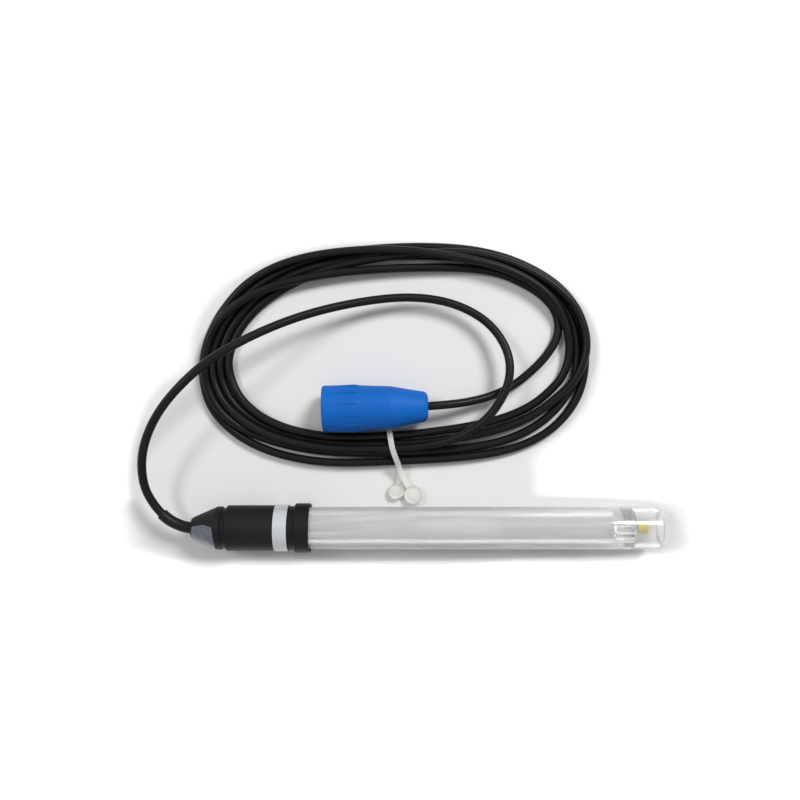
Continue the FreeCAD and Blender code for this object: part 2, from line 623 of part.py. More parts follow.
# Cable end, splices and resin inside the head
def build_head_inside():
    jacket = minus(SPIGOT_REAR, cell("jacket_setback"))
    core_front = plus(jacket, cell("core_length"))
    conductor_front = plus(core_front, cell("conductor_length"))
    core = turned("core", [
        (jacket, "0"),
        (jacket, half("core_diameter")),
        (core_front, half("core_diameter")),
        (core_front, half("conductor_diameter")),
        (conductor_front, half("conductor_diameter")),
        (conductor_front, "0"),
    ])
    on_electrode(keep("cable_core", core))
    inside = plus(half("conductor_diameter"), cell("press_gap"))
    splice = ring("splice", plus(core_front, cell("press_gap")),
                  plus(core_front, cell("splice_length")), inside, plus(inside, cell("splice_wall")))
    on_electrode(keep("signal_splice", splice))
    pigtail_radius = (size("cable_diameter") / 2 + size("core_diameter") / 2) / 2
    wire_end = spigot_rear - 3.5
    pigtail = [
        lead_point(jacket_end + size("press_gap"), pigtail_radius, 0),
        lead_point(jacket_end + 0.7, pigtail_radius + 0.02, 0.01),
        lead_point(jacket_end + 1.6, size("splice_offset") - 0.1, 0),
        lead_point(wire_end - size("glue_gap"), size("splice_offset"), 0.01),
    ]
    tube("shield_pigtail", pigtail, size("pigtail_diameter") / 2)
    sleeve = ring("sleeve", f"{wire_end - 0.6}", f"{wire_end - 0.6} + " + cell("splice_length"),
                  plus(half("reference_wire_diameter"), cell("glue_gap")),
                  plus(half("reference_wire_diameter"), cell("glue_gap"), cell("splice_wall")))
    on_electrode(keep("reference_splice", sleeve))
    sleeve.setExpression("Placement.Base.y", cell("splice_offset"))
    resin = rod("resin", plus(GLAND_FRONT, cell("glue_gap")),
                minus(SPIGOT_REAR, cell("glue_gap")), half("spigot_diameter"))
    on_electrode(resin)
    cast_in = [nodes[name] for name in ("cable_core", "signal_splice", "signal_wire",
                                        "shield_pigtail", "reference_splice", "reference_wire")]
    keep("head_potting", cut_all("head_potting", resin, cast_in))


# Bayonet plug, measured from the hood's mouth towards the cable
NUT_REAR = cell("hood_wall_step")
SHOULDER_FRONT = minus(NUT_REAR, cell("nut_shoulder_length"))
FLANGE_BACK = plus(cell("flange_place"), cell("flange_length"))
SLIP_FRONT = minus(SHOULDER_FRONT, cell("slip_ring_thickness"))
SNAP_FRONT = plus(NUT_REAR, cell("snap_ring_gap"))
SNAP_REAR = plus(SNAP_FRONT, cell("snap_ring_thickness"))
PIN_REAR = plus(cell("pin_pot_place"), cell("pin_pot_length"))
JACKET_FACE = plus(cell("stub_end"), cell("core_gap"))


def build_plug_body():
    rear = half("barrel_rear_diameter")
    body = turned("plug_shell", [
        (cell("sleeve_front"), half("sleeve_bore")),
        (cell("sleeve_front"), half("sleeve_diameter")),
        (cell("flange_place"), half("sleeve_diameter")),
        (cell("flange_place"), half("flange_diameter")),
        (FLANGE_BACK, half("flange_diameter")),
        (FLANGE_BACK, rear),
        (SNAP_FRONT, rear),
        (SNAP_FRONT, half("snap_ring_seat")),
        (SNAP_REAR, half("snap_ring_seat")),
        (SNAP_REAR, rear),
        (cell("barrel_rear_end"), rear),
        (cell("barrel_rear_end"), half("stub_diameter")),
        (cell("stub_end"), half("stub_diameter")),
        (cell("stub_end"), half("stub_bore")),
        (plus(PIN_REAR, cell("core_gap")), half("stub_bore")),
        (plus(PIN_REAR, cell("core_gap")), half("barrel_rear_bore")),
        (cell("insulator_step"), half("barrel_rear_bore")),
        (cell("insulator_step"), half("sleeve_bore")),
    ])
    slots = []
    for number, turn in enumerate((0, 90)):
        slot = doc.addObject("Part::Box", f"finger_slot_{number}")
        slot.setExpression("Length", cell("sleeve_slot_length"))
        slot.setExpression("Width", cell("flange_diameter"))
        slot.setExpression("Height", cell("sleeve_slot_width"))
        roll = FreeCAD.Rotation(Vector(1, 0, 0), turn)
        offset = Vector(0, -size("flange_diameter") / 2, -size("sleeve_slot_width") / 2)
        slot.Placement = FreeCAD.Placement(roll.multVec(offset), roll)
        slot.setExpression("Placement.Base.x", cell("sleeve_front"))
        slots.append(slot)
    on_plug(keep("plug_body", cut_all("plug_body", body, slots)))


def build_plug_inside():
    step = cell("insulator_step")
    wide = minus(half("sleeve_bore"), cell("press_gap"))
    narrow = minus(half("barrel_rear_bore"), cell("press_gap"))
    pin_hole = plus(half("pin_diameter"), cell("press_gap"))
    pot_hole = plus(half("pin_pot_diameter"), cell("press_gap"))
    socket_floor = plus(cell("insulator_front"), cell("socket_depth"))
    insulator = turned("insulator", [
        (cell("insulator_front"), half("socket_bore")),
        (cell("insulator_front"), wide),
        (minus(step, cell("press_gap")), wide),
        (minus(step, cell("press_gap")), narrow),
        (cell("insulator_rear"), narrow),
        (cell("insulator_rear"), pot_hole),
        (minus(cell("pin_pot_place"), cell("press_gap")), pot_hole),
        (minus(cell("pin_pot_place"), cell("press_gap")), pin_hole),
        (socket_floor, pin_hole),
        (socket_floor, half("socket_bore")),
    ])
    on_plug(keep("plug_insulator", insulator))
    conductor_hole = plus(half("conductor_diameter"), cell("press_gap"))
    pin = turned("pin", [
        (cell("pin_front"), "0"),
        (cell("pin_front"), half("pin_diameter") + " / 2"),
        (plus(cell("pin_front"), cell("pin_point")), half("pin_diameter")),
        (cell("pin_pot_place"), half("pin_diameter")),
        (cell("pin_pot_place"), half("pin_pot_diameter")),
        (PIN_REAR, half("pin_pot_diameter")),
        (PIN_REAR, conductor_hole),
        (minus(PIN_REAR, cell("conductor_length")), conductor_hole),
        (minus(PIN_REAR, cell("conductor_length")), "0"),
    ])
    on_plug(keep("centre_pin", pin))
    bared = minus(PIN_REAR, cell("conductor_length"))
    insulation_front = plus(PIN_REAR, cell("core_gap"), cell("press_gap"))
    core = turned("plug_core_rod", [
        (plus(bared, cell("press_gap")), "0"),
        (plus(bared, cell("press_gap")), half("conductor_diameter")),
        (insulation_front, half("conductor_diameter")),
        (insulation_front, half("core_diameter")),
        (JACKET_FACE, half("core_diameter")),
        (JACKET_FACE, "0"),
    ])
    on_plug(keep("plug_core", core))
    braid_inside = plus(half("stub_diameter"), cell("press_gap"))
    braid_outside = plus(braid_inside, cell("braid_wall"))
    braid = ring("braid", cell("ferrule_front"), cell("stub_end"), braid_inside, braid_outside)
    on_plug(keep("plug_braid", braid))
    ferrule_inside = plus(braid_outside, cell("press_gap"))
    ferrule_outside = plus(ferrule_inside, cell("ferrule_wall"))
    grip = plus(half("cable_diameter"), cell("press_gap"))
    ferrule = turned("ferrule", [
        (cell("ferrule_front"), ferrule_inside),
        (cell("ferrule_front"), ferrule_outside),
        (plus(JACKET_FACE, cell("ferrule_lip")), ferrule_outside),
        (plus(JACKET_FACE, cell("ferrule_lip")), grip),
        (JACKET_FACE, grip),
        (JACKET_FACE, ferrule_inside),
    ])
    on_plug(keep("crimp_ferrule", ferrule))
    gasket = ring("gasket", minus(cell("flange_place"), cell("gasket_thickness")),
                  minus(cell("flange_place"), cell("press_gap")),
                  plus(half("sleeve_diameter"), cell("press_gap")), half("flange_diameter"))
    on_plug(keep("plug_gasket", gasket))


def build_snap_ring():
    seat = plus(half("snap_ring_seat"), cell("press_gap"))
    full = ring("snap", plus(SNAP_FRONT, cell("press_gap")), minus(SNAP_REAR, cell("press_gap")),
                seat, half("snap_ring_diameter"))
    split = doc.addObject("Part::Box", "snap_ring_split")
    split.setExpression("Length", cell("snap_ring_thickness") + " * 3")
    split.setExpression("Width", cell("snap_ring_opening"))
    split.setExpression("Height", cell("snap_ring_diameter"))
    split.setExpression("Placement.Base.x", minus(SNAP_FRONT, cell("snap_ring_thickness")))
    split.setExpression("Placement.Base.y", "-" + half("snap_ring_opening"))
    on_plug(keep("snap_ring", cut("snap_ring", full, split)))


# Bowed spring washer: a flat ring's outline cut from a thin curved sheet
def build_spring_washer():
    inner = plus(half("barrel_rear_diameter"), cell("running_gap"), cell("glue_gap"))
    outline = ring("washer_outline", FLANGE_BACK, SLIP_FRONT, inner,
                   minus(half("nut_bore"), cell("running_gap") + " * 2"))
    reach = size("nut_bore") / 2 - 2 * size("running_gap")
    bow = size("spring_height") - size("spring_thickness")
    sheet_radius = (reach ** 2 + bow ** 2) / (2 * bow)
    flange_back = size("flange_place") + size("flange_length")
    sheets = []
    for name, radius in (("sheet_outside", sheet_radius),
                         ("sheet_inside", sheet_radius - size("spring_thickness"))):
        roller = doc.addObject("Part::Cylinder", name)
        roller.Radius = radius
        roller.Height = 2 * reach
        roller.Placement = FreeCAD.Placement(Vector(flange_back + sheet_radius, reach, 0),
                                             FreeCAD.Rotation(Vector(1, 0, 0), 90))
        sheets.append(roller)
    curved = cut("curved_sheet", sheets[0], sheets[1])
    washer = doc.addObject("Part::Common", "spring_washer_common")
    washer.Base = outline
    washer.Tool = curved
    on_plug(keep("spring_washer", washer))


def build_slip_ring():
    slip = ring("slip", SLIP_FRONT, SHOULDER_FRONT,
                plus(half("barrel_rear_diameter"), cell("running_gap")),
                minus(half("nut_bore"), cell("running_gap")))
    on_plug(keep("slip_ring", slip))


# Bayonet nut: two cam slots, each a straight entry, a helical run and a detent
def build_nut():
    bore = half("nut_bore")
    nut = turned("nut", [
        (cell("nut_front"), plus(bore, cell("nut_edge"))),
        (cell("nut_front"), half("nut_diameter")),
        (minus(NUT_REAR, cell("press_gap")), half("nut_diameter")),
        (minus(NUT_REAR, cell("press_gap")), plus(half("barrel_rear_diameter"), cell("running_gap"))),
        (plus(SHOULDER_FRONT, cell("press_gap")),
         plus(half("barrel_rear_diameter"), cell("running_gap"))),
        (plus(SHOULDER_FRONT, cell("press_gap")), bore),
        (plus(cell("nut_front"), cell("nut_edge")), bore),
    ])
    width = size("lug_slot_width")
    wall_middle = (size("nut_bore") + size("nut_diameter")) / 4
    slot_start = size("nut_front") + size("lug_slot_entry")
    steps = math.ceil(math.radians(size("lug_slot_sweep")) * wall_middle / (0.3 * width))
    cutters = []
    for side in (0, 180):
        entry = Part.makeBox(slot_start + 1, width, size("nut_diameter"),
                             Vector(-1, -width / 2, 0))
        entry.rotate(Vector(), Vector(1, 0, 0), side)
        cutters.append(entry)
        for step in range(steps + 1):
            share = step / steps
            lug = Part.makeCylinder(width / 2, size("nut_diameter"), Vector(), Vector(0, 0, 1))
            lug.translate(Vector(slot_start + size("lug_slot_rise") * share, 0, 0))
            lug.rotate(Vector(), Vector(1, 0, 0), side + size("lug_slot_sweep") * share)
            cutters.append(lug)
    tool = doc.addObject("Part::Feature", "lug_slots")
    tool.Shape = cutters[0].multiFuse(cutters[1:])
    on_plug(keep("bayonet_nut", cut("bayonet_nut", nut, tool)))


# Blue hood over the nut, with grip ribs round its mouth end
def build_hood():
    grip = half("hood_mouth_diameter")
    tail_start = minus(cell("hood_length"), cell("hood_tail_edge"))
    seat = plus(half("nut_diameter"), cell("press_gap"))
    hood = turned("hood", [
        ("0", seat),
        ("0", minus(grip, cell("hood_mouth_edge"))),
        (cell("hood_mouth_edge"), grip),
        (cell("hood_grip_length"), grip),
        (cell("hood_waist_place"), half("hood_waist_diameter")),
        (cell("hood_shoulder_place"), half("hood_shoulder_diameter")),
        (cell("hood_taper_place"), half("hood_taper_diameter")),
        (tail_start, half("hood_tail_diameter")),
        (minus(cell("hood_length"), cell("hood_tail_edge") + " * 0.3"),
         minus(half("hood_tail_diameter"), cell("hood_tail_edge") + " * 0.45")),
        (cell("hood_length"), minus(half("hood_tail_diameter"), cell("hood_tail_edge") + " * 1.2")),
        (cell("hood_length"), half("hood_cable_hole")),
        (cell("hood_hollow_end"), half("hood_cable_hole")),
        (cell("hood_hollow_end"), half("hood_hollow_end_diameter")),
        (cell("hood_wall_step"), half("hood_hollow_diameter")),
        (cell("hood_wall_step"), seat),
    ])
    inside_grip = minus(grip, cell("rib_height"))
    rib_sketch = closed_profile(hood, "rib_profile", [
        (cell("rib_start"), inside_grip),
        (cell("rib_start"), grip),
        (cell("rib_peak"), plus(grip, cell("rib_height"))),
        (plus(cell("rib_peak"), cell("rib_width")), plus(grip, cell("rib_height"))),
        (cell("rib_end"), inside_grip),
    ])
    rib = hood.newObject("PartDesign::Pad", "rib")
    rib.Profile = rib_sketch
    rib.setExpression("Length", cell("rib_width"))
    rib.SideType = "Symmetric"
    ribs = hood.newObject("PartDesign::PolarPattern", "ribs")
    ribs.Originals = [rib]
    ribs.Axis = (rib_sketch, ["H_Axis"])
    ribs.Angle = 360.0
    ribs.setExpression("Occurrences", cell("rib_count"))
    hood.Tip = ribs
    on_plug(keep("coupling_hood", hood), size("rib_turn"))


def plug_point(along, lower=0.0):
    """Point on the plug's axis, behind the hood's mouth by the given length."""
    turn = math.radians(size("plug_turn"))
    height = size("hood_mouth_diameter") / 2 + size("rib_rest")
    return Vector(size("plug_x") + along * math.cos(turn), size("plug_y") + along * math.sin(turn),
                  height - lower)


# Cable: lead from the nose to the coil, the coil, and the tail from the coil to the plug
LEAD_ROUTE = [
    (-77.0, 6.4, 8.2),
    (-79.7, 12.1, 9.6),
    (-79.6, 20.0, 12.2),
    (-77.1, 27.3, 14.6),
    (-72.8, 34.1, 17.0),
    (-67.1, 40.4, 18.5),
    (-60.0, 47.0, 18.1),
    (-49.4, 53.8, 15.0),
    (-35.5, 60.2, 10.6),
    (-20.1, 64.5, 6.6),
    (-4.4, 66.5, 4.6),
    (8.5, 64.6, 4.3),
    (18.4, 59.0, 5.2),
    (23.7, 50.7, 7.2),
    (24.1, 42.7, 8.6),
    (21.0, 35.6, 8.9),
    (15.9, 29.5, 8.4),
    (8.3, 25.1, 6.8),
    (0.0, 23.5, 4.6),
    (-8.2, 23.2, 3.0),
]
TAIL_ROUTE = [
    (38.9, 66.0, 1.4),
    (39.8, 59.3, 1.3),
    (37.0, 52.6, 1.35),
    (32.5, 46.1, 1.4),
    (26.1, 40.8, 1.9),
    (18.1, 37.0, 3.4),
]


def lead_points():
    start = [
        Vector(jacket_end, 0, axis_height),
        Vector(nose + 5.4, 0, axis_height),
        Vector(nose - 1.7, 0, axis_height + 0.03),
        Vector(nose - 6.6, 2.2, axis_height + 0.4),
    ]
    return start + [Vector(*point) for point in LEAD_ROUTE]


def tail_points():
    face = size("stub_end") + size("core_gap")
    end = [plug_point(size("hood_length") + 4.5), plug_point(face)]
    return [Vector(*point) for point in TAIL_ROUTE] + end


def sleeve_shape():
    """Sleeve over the cable where it leaves the nose, following the cable's first bends."""
    points = lead_points()[1:5]
    along = (points[1] - points[0]).normalize()
    start = points[0] + along * size("sleeve_inset")
    last_arc_end = bend(points[1], points[2], points[3])[2]
    end = last_arc_end + (points[3] - points[2]).normalize() * size("sleeve_tail")
    bore = size("cable_diameter") / 2 + size("shrink_sleeve_gap")
    outside = tube_shape(points, bore + size("shrink_sleeve_wall"), start, end)[0]
    inside = tube_shape(points, bore, start, end)[0]
    return outside.cut(inside)


def oval(kind, share):
    """Point of the outer or inner oval at a share of one turn."""
    angle = 2 * math.pi * share
    power = 2 / size("coil_squareness")
    across = math.copysign(abs(math.cos(angle)) ** power, math.cos(angle))
    upward = math.copysign(abs(math.sin(angle)) ** power, math.sin(angle))
    point = Vector(across * size(f"coil_{kind}_half_length"), upward * size(f"coil_{kind}_half_width"), 0)
    tilt = FreeCAD.Rotation(Vector(0, 0, 1), size(f"coil_{kind}_tilt"))
    return tilt.multVec(point) + Vector(size(f"coil_{kind}_x"), size(f"coil_{kind}_y"), 0)


def oval_prism(kind):
    count = 24
    curve = Part.BSplineCurve()
    curve.interpolate([oval(kind, (step + 0.5) / count) for step in range(count)], PeriodicFlag=True)
    face = Part.Face(Part.Wire([curve.toShape()]))
    return face.extrude(Vector(0, 0, size("coil_height")))


def rounded(solid, radius):
    """Rounds the edges of a prism's top and bottom faces."""
    flat = [edge for edge in solid.Edges if edge.BoundBox.ZLength < 0.001]
    return solid.makeFillet(radius, flat)


def tie_place():
    turn = FreeCAD.Rotation(Vector(0, 0, 1), size("tie_turn"))
    return FreeCAD.Placement(Vector(size("tie_x"), size("tie_y"), 0), turn)


def build_cable():
    radius = size("cable_diameter") / 2
    tube("cable_lead", lead_points(), radius, report=True)
    tube("cable_tail", tail_points(), radius, report=True)
    sleeve = doc.addObject("Part::Feature", "shrink_sleeve_tube")
    sleeve.Shape = sleeve_shape()
    keep("shrink_sleeve", sleeve)
    bundle = rounded(oval_prism("outer").cut(oval_prism("inner")), size("coil_edge"))
    hood_room = size("hood_mouth_diameter") / 2 + size("rib_height") + size("hood_clearance")
    along = plug_point(1) - plug_point(0)
    room = Part.makeCylinder(hood_room, size("hood_length") + 2, plug_point(-1), along)
    bundle = bundle.cut(room)
    inside, loop, squeeze = strap_loop(bundle)
    coil = doc.addObject("Part::Feature", "cable_coil_bundle")
    bundle = bundle.cut(squeeze)
    for run in ("cable_lead", "cable_tail"):
        bundle = bundle.cut(nodes[run].Shape)
    coil.Shape = bundle
    keep("cable_coil", coil)
    build_tie(inside, loop)


# Nylon tie: a loop round the bundle, two ends that meet in a knot, and a button on each end
def strap_loop(bundle):
    """Inside of the loop along the tie, the loop in the tie's frame, and where it squeezes the coil."""
    local = bundle.copy()
    local.Placement = tie_place().inverse().multiply(local.Placement)
    width = size("strap_width")
    gap = size("strap_gap")
    thick = size("strap_thickness")
    height = size("coil_height")
    crown = Part.makeBox(40, width, gap, Vector(-20, -width / 2, height - gap))
    crown_points = local.common(crown).tessellate(0.05)[0]
    low = min(point.x for point in crown_points)
    high = max(point.x for point in crown_points)
    loop = slab(low - thick, high + thick, width, 0, height + gap + thick, size("strap_corner"))
    loop = loop.cut(slab(low, high, width, thick, height + gap, size("strap_corner") / 2))
    free = slab(low + gap, high - gap, width * 2, thick + gap, height, size("strap_corner") / 2)
    band = Part.makeBox(60, width + 2 * gap, 20, Vector(-30, -width / 2 - gap, -5))
    squeeze = band.cut(free)
    squeeze.Placement = tie_place()
    return (low, high), loop, squeeze


def slab(low, high, width, bottom, top, corner):
    """Block in the tie's frame with rounded edges along local Y."""
    block = Part.makeBox(high - low, width, top - bottom, Vector(low, -width / 2, bottom))
    along_y = [edge for edge in block.Edges
               if edge.BoundBox.XLength < 0.001 and edge.BoundBox.ZLength < 0.001]
    return block.makeFillet(corner, along_y)


def bar(start, end, width, thickness, height):
    """Flat bar between two places in plan."""
    run = end - start
    shape = Part.makeBox(run.Length, width, thickness, Vector(0, -width / 2, -thickness / 2))
    turn = FreeCAD.Rotation(Vector(1, 0, 0), run)
    shape.Placement = FreeCAD.Placement(Vector(start.x, start.y, height), turn)
    return shape


def button(name):
    radius = size(f"{name}_button_diameter") / 2
    disc = Part.makeCylinder(radius, size("button_height"),
                             Vector(size(f"{name}_button_x"), size(f"{name}_button_y"), 0))
    return rounded(disc, size("button_edge"))


def build_tie(inside, loop):
    place = tie_place()
    loop.Placement = place
    knot = Vector(size("knot_x"), size("knot_y"), 0)
    middle = size("button_height") / 2
    width = size("strap_width")
    thick = size("strap_thickness")
    loop_side = place.multVec(Vector(inside[1] + thick / 2, 0, 0))
    pieces = [bar(loop_side, knot, width, thick, middle)]
    pieces.append(Part.makeSphere(size("knot_diameter") / 2,
                                  Vector(knot.x, knot.y, size("knot_diameter") / 2)))
    for name in ("small", "large"):
        centre = Vector(size(f"{name}_button_x"), size(f"{name}_button_y"), 0)
        pieces.append(bar(knot, centre, width, thick, middle))
        pieces.append(button(name))
    tie = doc.addObject("Part::Feature", "tie_moulding")
    tie.Shape = loop.multiFuse(pieces).removeSplitter()
    keep("cable_tie", tie)


def build_all():
    build_shaft()
    build_sensor()
    build_leads()
    build_fillings()
    build_head()
    build_head_inside()
    build_plug_body()
    build_plug_inside()
    build_snap_ring()
    build_spring_washer()
    build_slip_ring()
    build_nut()
    build_hood()
    build_cable()


def check_and_write():
    """Nothing is written unless every object and every node's shape is sound."""
    doc.recompute()
    for item in doc.Objects:
        if "Invalid" in item.State or "Error" in item.State:
            raise ValueError(f"{item.Name} failed: {item.State}")
    for label, piece in nodes.items():
        shape = piece.Shape
        if shape.isNull() or not shape.isValid() or len(shape.Solids) < 1 or shape.Volume <= 0:
            raise ValueError(f"{label} has no valid solid")
    os.makedirs("parts", exist_ok=True)
    for label, piece in nodes.items():
        piece.Shape.exportStep(f"parts/{label}.step")
        box = piece.Shape.BoundBox
        print(f"{label}: solids {len(piece.Shape.Solids)}, volume {piece.Shape.Volume:.2f}, "
              f"x {box.XMin:.2f} {box.XMax:.2f}, y {box.YMin:.2f} {box.YMax:.2f}, "
              f"z {box.ZMin:.2f} {box.ZMax:.2f}")


build_all()
check_and_write()
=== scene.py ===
import math

import bpy
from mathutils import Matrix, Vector


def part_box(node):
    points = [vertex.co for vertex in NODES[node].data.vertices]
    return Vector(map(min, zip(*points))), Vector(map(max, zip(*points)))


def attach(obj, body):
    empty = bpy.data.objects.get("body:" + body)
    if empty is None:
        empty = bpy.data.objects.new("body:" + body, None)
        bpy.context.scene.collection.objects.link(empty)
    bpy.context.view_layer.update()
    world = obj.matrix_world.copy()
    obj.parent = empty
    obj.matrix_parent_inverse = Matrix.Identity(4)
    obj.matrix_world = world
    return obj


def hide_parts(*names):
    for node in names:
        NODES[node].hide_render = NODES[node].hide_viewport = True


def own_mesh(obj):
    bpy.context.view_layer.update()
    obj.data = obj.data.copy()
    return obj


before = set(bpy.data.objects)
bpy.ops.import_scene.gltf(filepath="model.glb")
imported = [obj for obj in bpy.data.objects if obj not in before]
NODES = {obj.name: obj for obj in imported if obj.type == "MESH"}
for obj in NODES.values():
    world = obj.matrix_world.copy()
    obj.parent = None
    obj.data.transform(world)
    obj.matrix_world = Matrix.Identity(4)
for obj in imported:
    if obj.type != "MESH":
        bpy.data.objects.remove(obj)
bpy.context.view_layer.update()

bl_info = {
    "name": "Redox electrode",
    "version": (1, 0, 0),
    "blender": (4, 5, 0),
    "location": "3D View > Sidebar > Electrode",
    "description": "Dresses a packed redox electrode with its cable, plug and finishes",
    "category": "Object",
}

MM = 0.001

# Places of the part that new pieces lean on, in metres
AXIS_HEIGHT = 0.007
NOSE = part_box("gland_nose")[0][0]
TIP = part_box("shaft_tube")[1][0]
TIP_TINT = (0.94, 0.95, 0.945)

# Clear shaft, in metres: ends of its rear spigot, radii, and distances back from the tip
SPIGOT_REAR = NOSE + 18.7 * MM
SPIGOT_FRONT = NOSE + 29.8 * MM
SPIGOT_RADIUS, SHAFT_RADIUS, BORE_RADIUS = 0.0046, 0.006, 0.0035
RIM_RADIUS, RECESS_RADIUS, DRILL_POINT_RADIUS = 0.0054, 0.0045, 0.00005
CHAMFER, RECESS_DEPTH, CLEAR_LENGTH = 0.0006, 0.0077, 0.0116
BORE_END, DRILL_END = 0.0139, 0.0118
# Holes through the shaft's wall: gap round the piece, how far behind it they start, and how far
# back from the tip they stop
PRESS_GAP, HOLE_OVERRUN, HOLE_STOP = 0.00003, 0.002, 0.0035
# A place off every plane of symmetry, by distance from which the shaft's faces are put in order
SORT_FROM = (0.0131, 0.0173, 0.0057)

# Compound on the cone, in millimetres along the part: its ends, its bulge and the cone under it
NOSE_AT = -66.6
COMPOUND_REAR, COMPOUND_FRONT, COMPOUND_BULGE = -66.25, -61.3, 2.1
CONE_RADIUS, CONE_GROWTH, CONE_LENGTH = 2.9, 3.2, 7.3

# Tie in millimetres: middle of its loop and how it lies on the table, then the strap from one end
# over and round the cables to the other, as distance along, distance aside and height
TIE_CENTRE = (-8.9, 22.6)
TIE_TURN = math.radians(-73.8)
TIE_WIDTH = 1.6
TIE_RIBBED = 7.5  # how far along it the strap's fine ribs go
TIE_PATH = [
    (13.2, 0.95, 1.3), (11.6, 0.5, 1.7), (9.8, 0.05, 2.1), (8.0, -0.3, 2.6), (6.4, -0.3, 3.2),
    (5.0, -0.3, 3.95), (3.5, -0.35, 4.85), (1.8, -0.5, 5.6), (0.0, -0.62, 5.85), (-1.9, -0.45, 5.6),
    (-3.9, -0.15, 4.9), (-5.2, 0.0, 4.1), (-5.85, 0.0, 3.0), (-5.85, 0.0, 1.9), (-5.4, 0.0, 1.0),
    (-4.3, 0.0, 0.5), (-2.2, 0.0, 0.42), (0.0, 0.0, 0.42), (2.2, 0.0, 0.42), (4.2, -0.05, 0.45),
    (5.8, -0.2, 0.7), (7.4, -0.5, 0.95), (8.9, -1.0, 1.1), (10.2, -1.8, 1.2), (11.4, -2.6, 1.2),
]
TIE_ENDS = [((-8.4, 9.8), 2.25, 2.2), ((-3.4, 8.8), 2.7, 2.3)]

# Cable route in millimetres, from the head to the coil and from the coil to the plug
LEAD_ROUTE = [
    (-54.0, 0.0, 7.0), (-61.2, 0.0, 7.0), (-68.3, 0.0, 7.03), (-73.2, 2.2, 7.4), (-77.0, 6.4, 8.2),
    (-79.7, 12.1, 9.6), (-79.6, 20.0, 12.2), (-77.1, 27.3, 14.6), (-72.8, 34.1, 17.0),
    (-67.1, 40.4, 18.5), (-60.0, 47.0, 18.1), (-49.4, 53.8, 15.0), (-35.5, 60.2, 10.6),
    (-20.1, 64.5, 6.6), (-4.4, 66.5, 4.6), (8.5, 64.6, 4.3), (18.4, 59.0, 5.2), (23.7, 50.7, 7.2),
    (24.1, 42.7, 8.6), (21.0, 35.6, 8.9), (15.9, 29.5, 8.4), (8.3, 25.1, 6.8), (0.0, 23.3, 4.9),
]
TAIL_ROUTE = [
    (34.6, 66.9, 1.24), (37.7, 63.4, 1.25), (39.2, 59.3, 1.3), (38.7, 54.6, 1.35),
    (36.2, 50.3, 1.4),
    (32.5, 46.1, 1.4), (26.1, 40.8, 1.9), (18.1, 37.0, 3.4), (5.19, 34.74, 6.92),
    (-7.71, 34.43, 6.92),
]
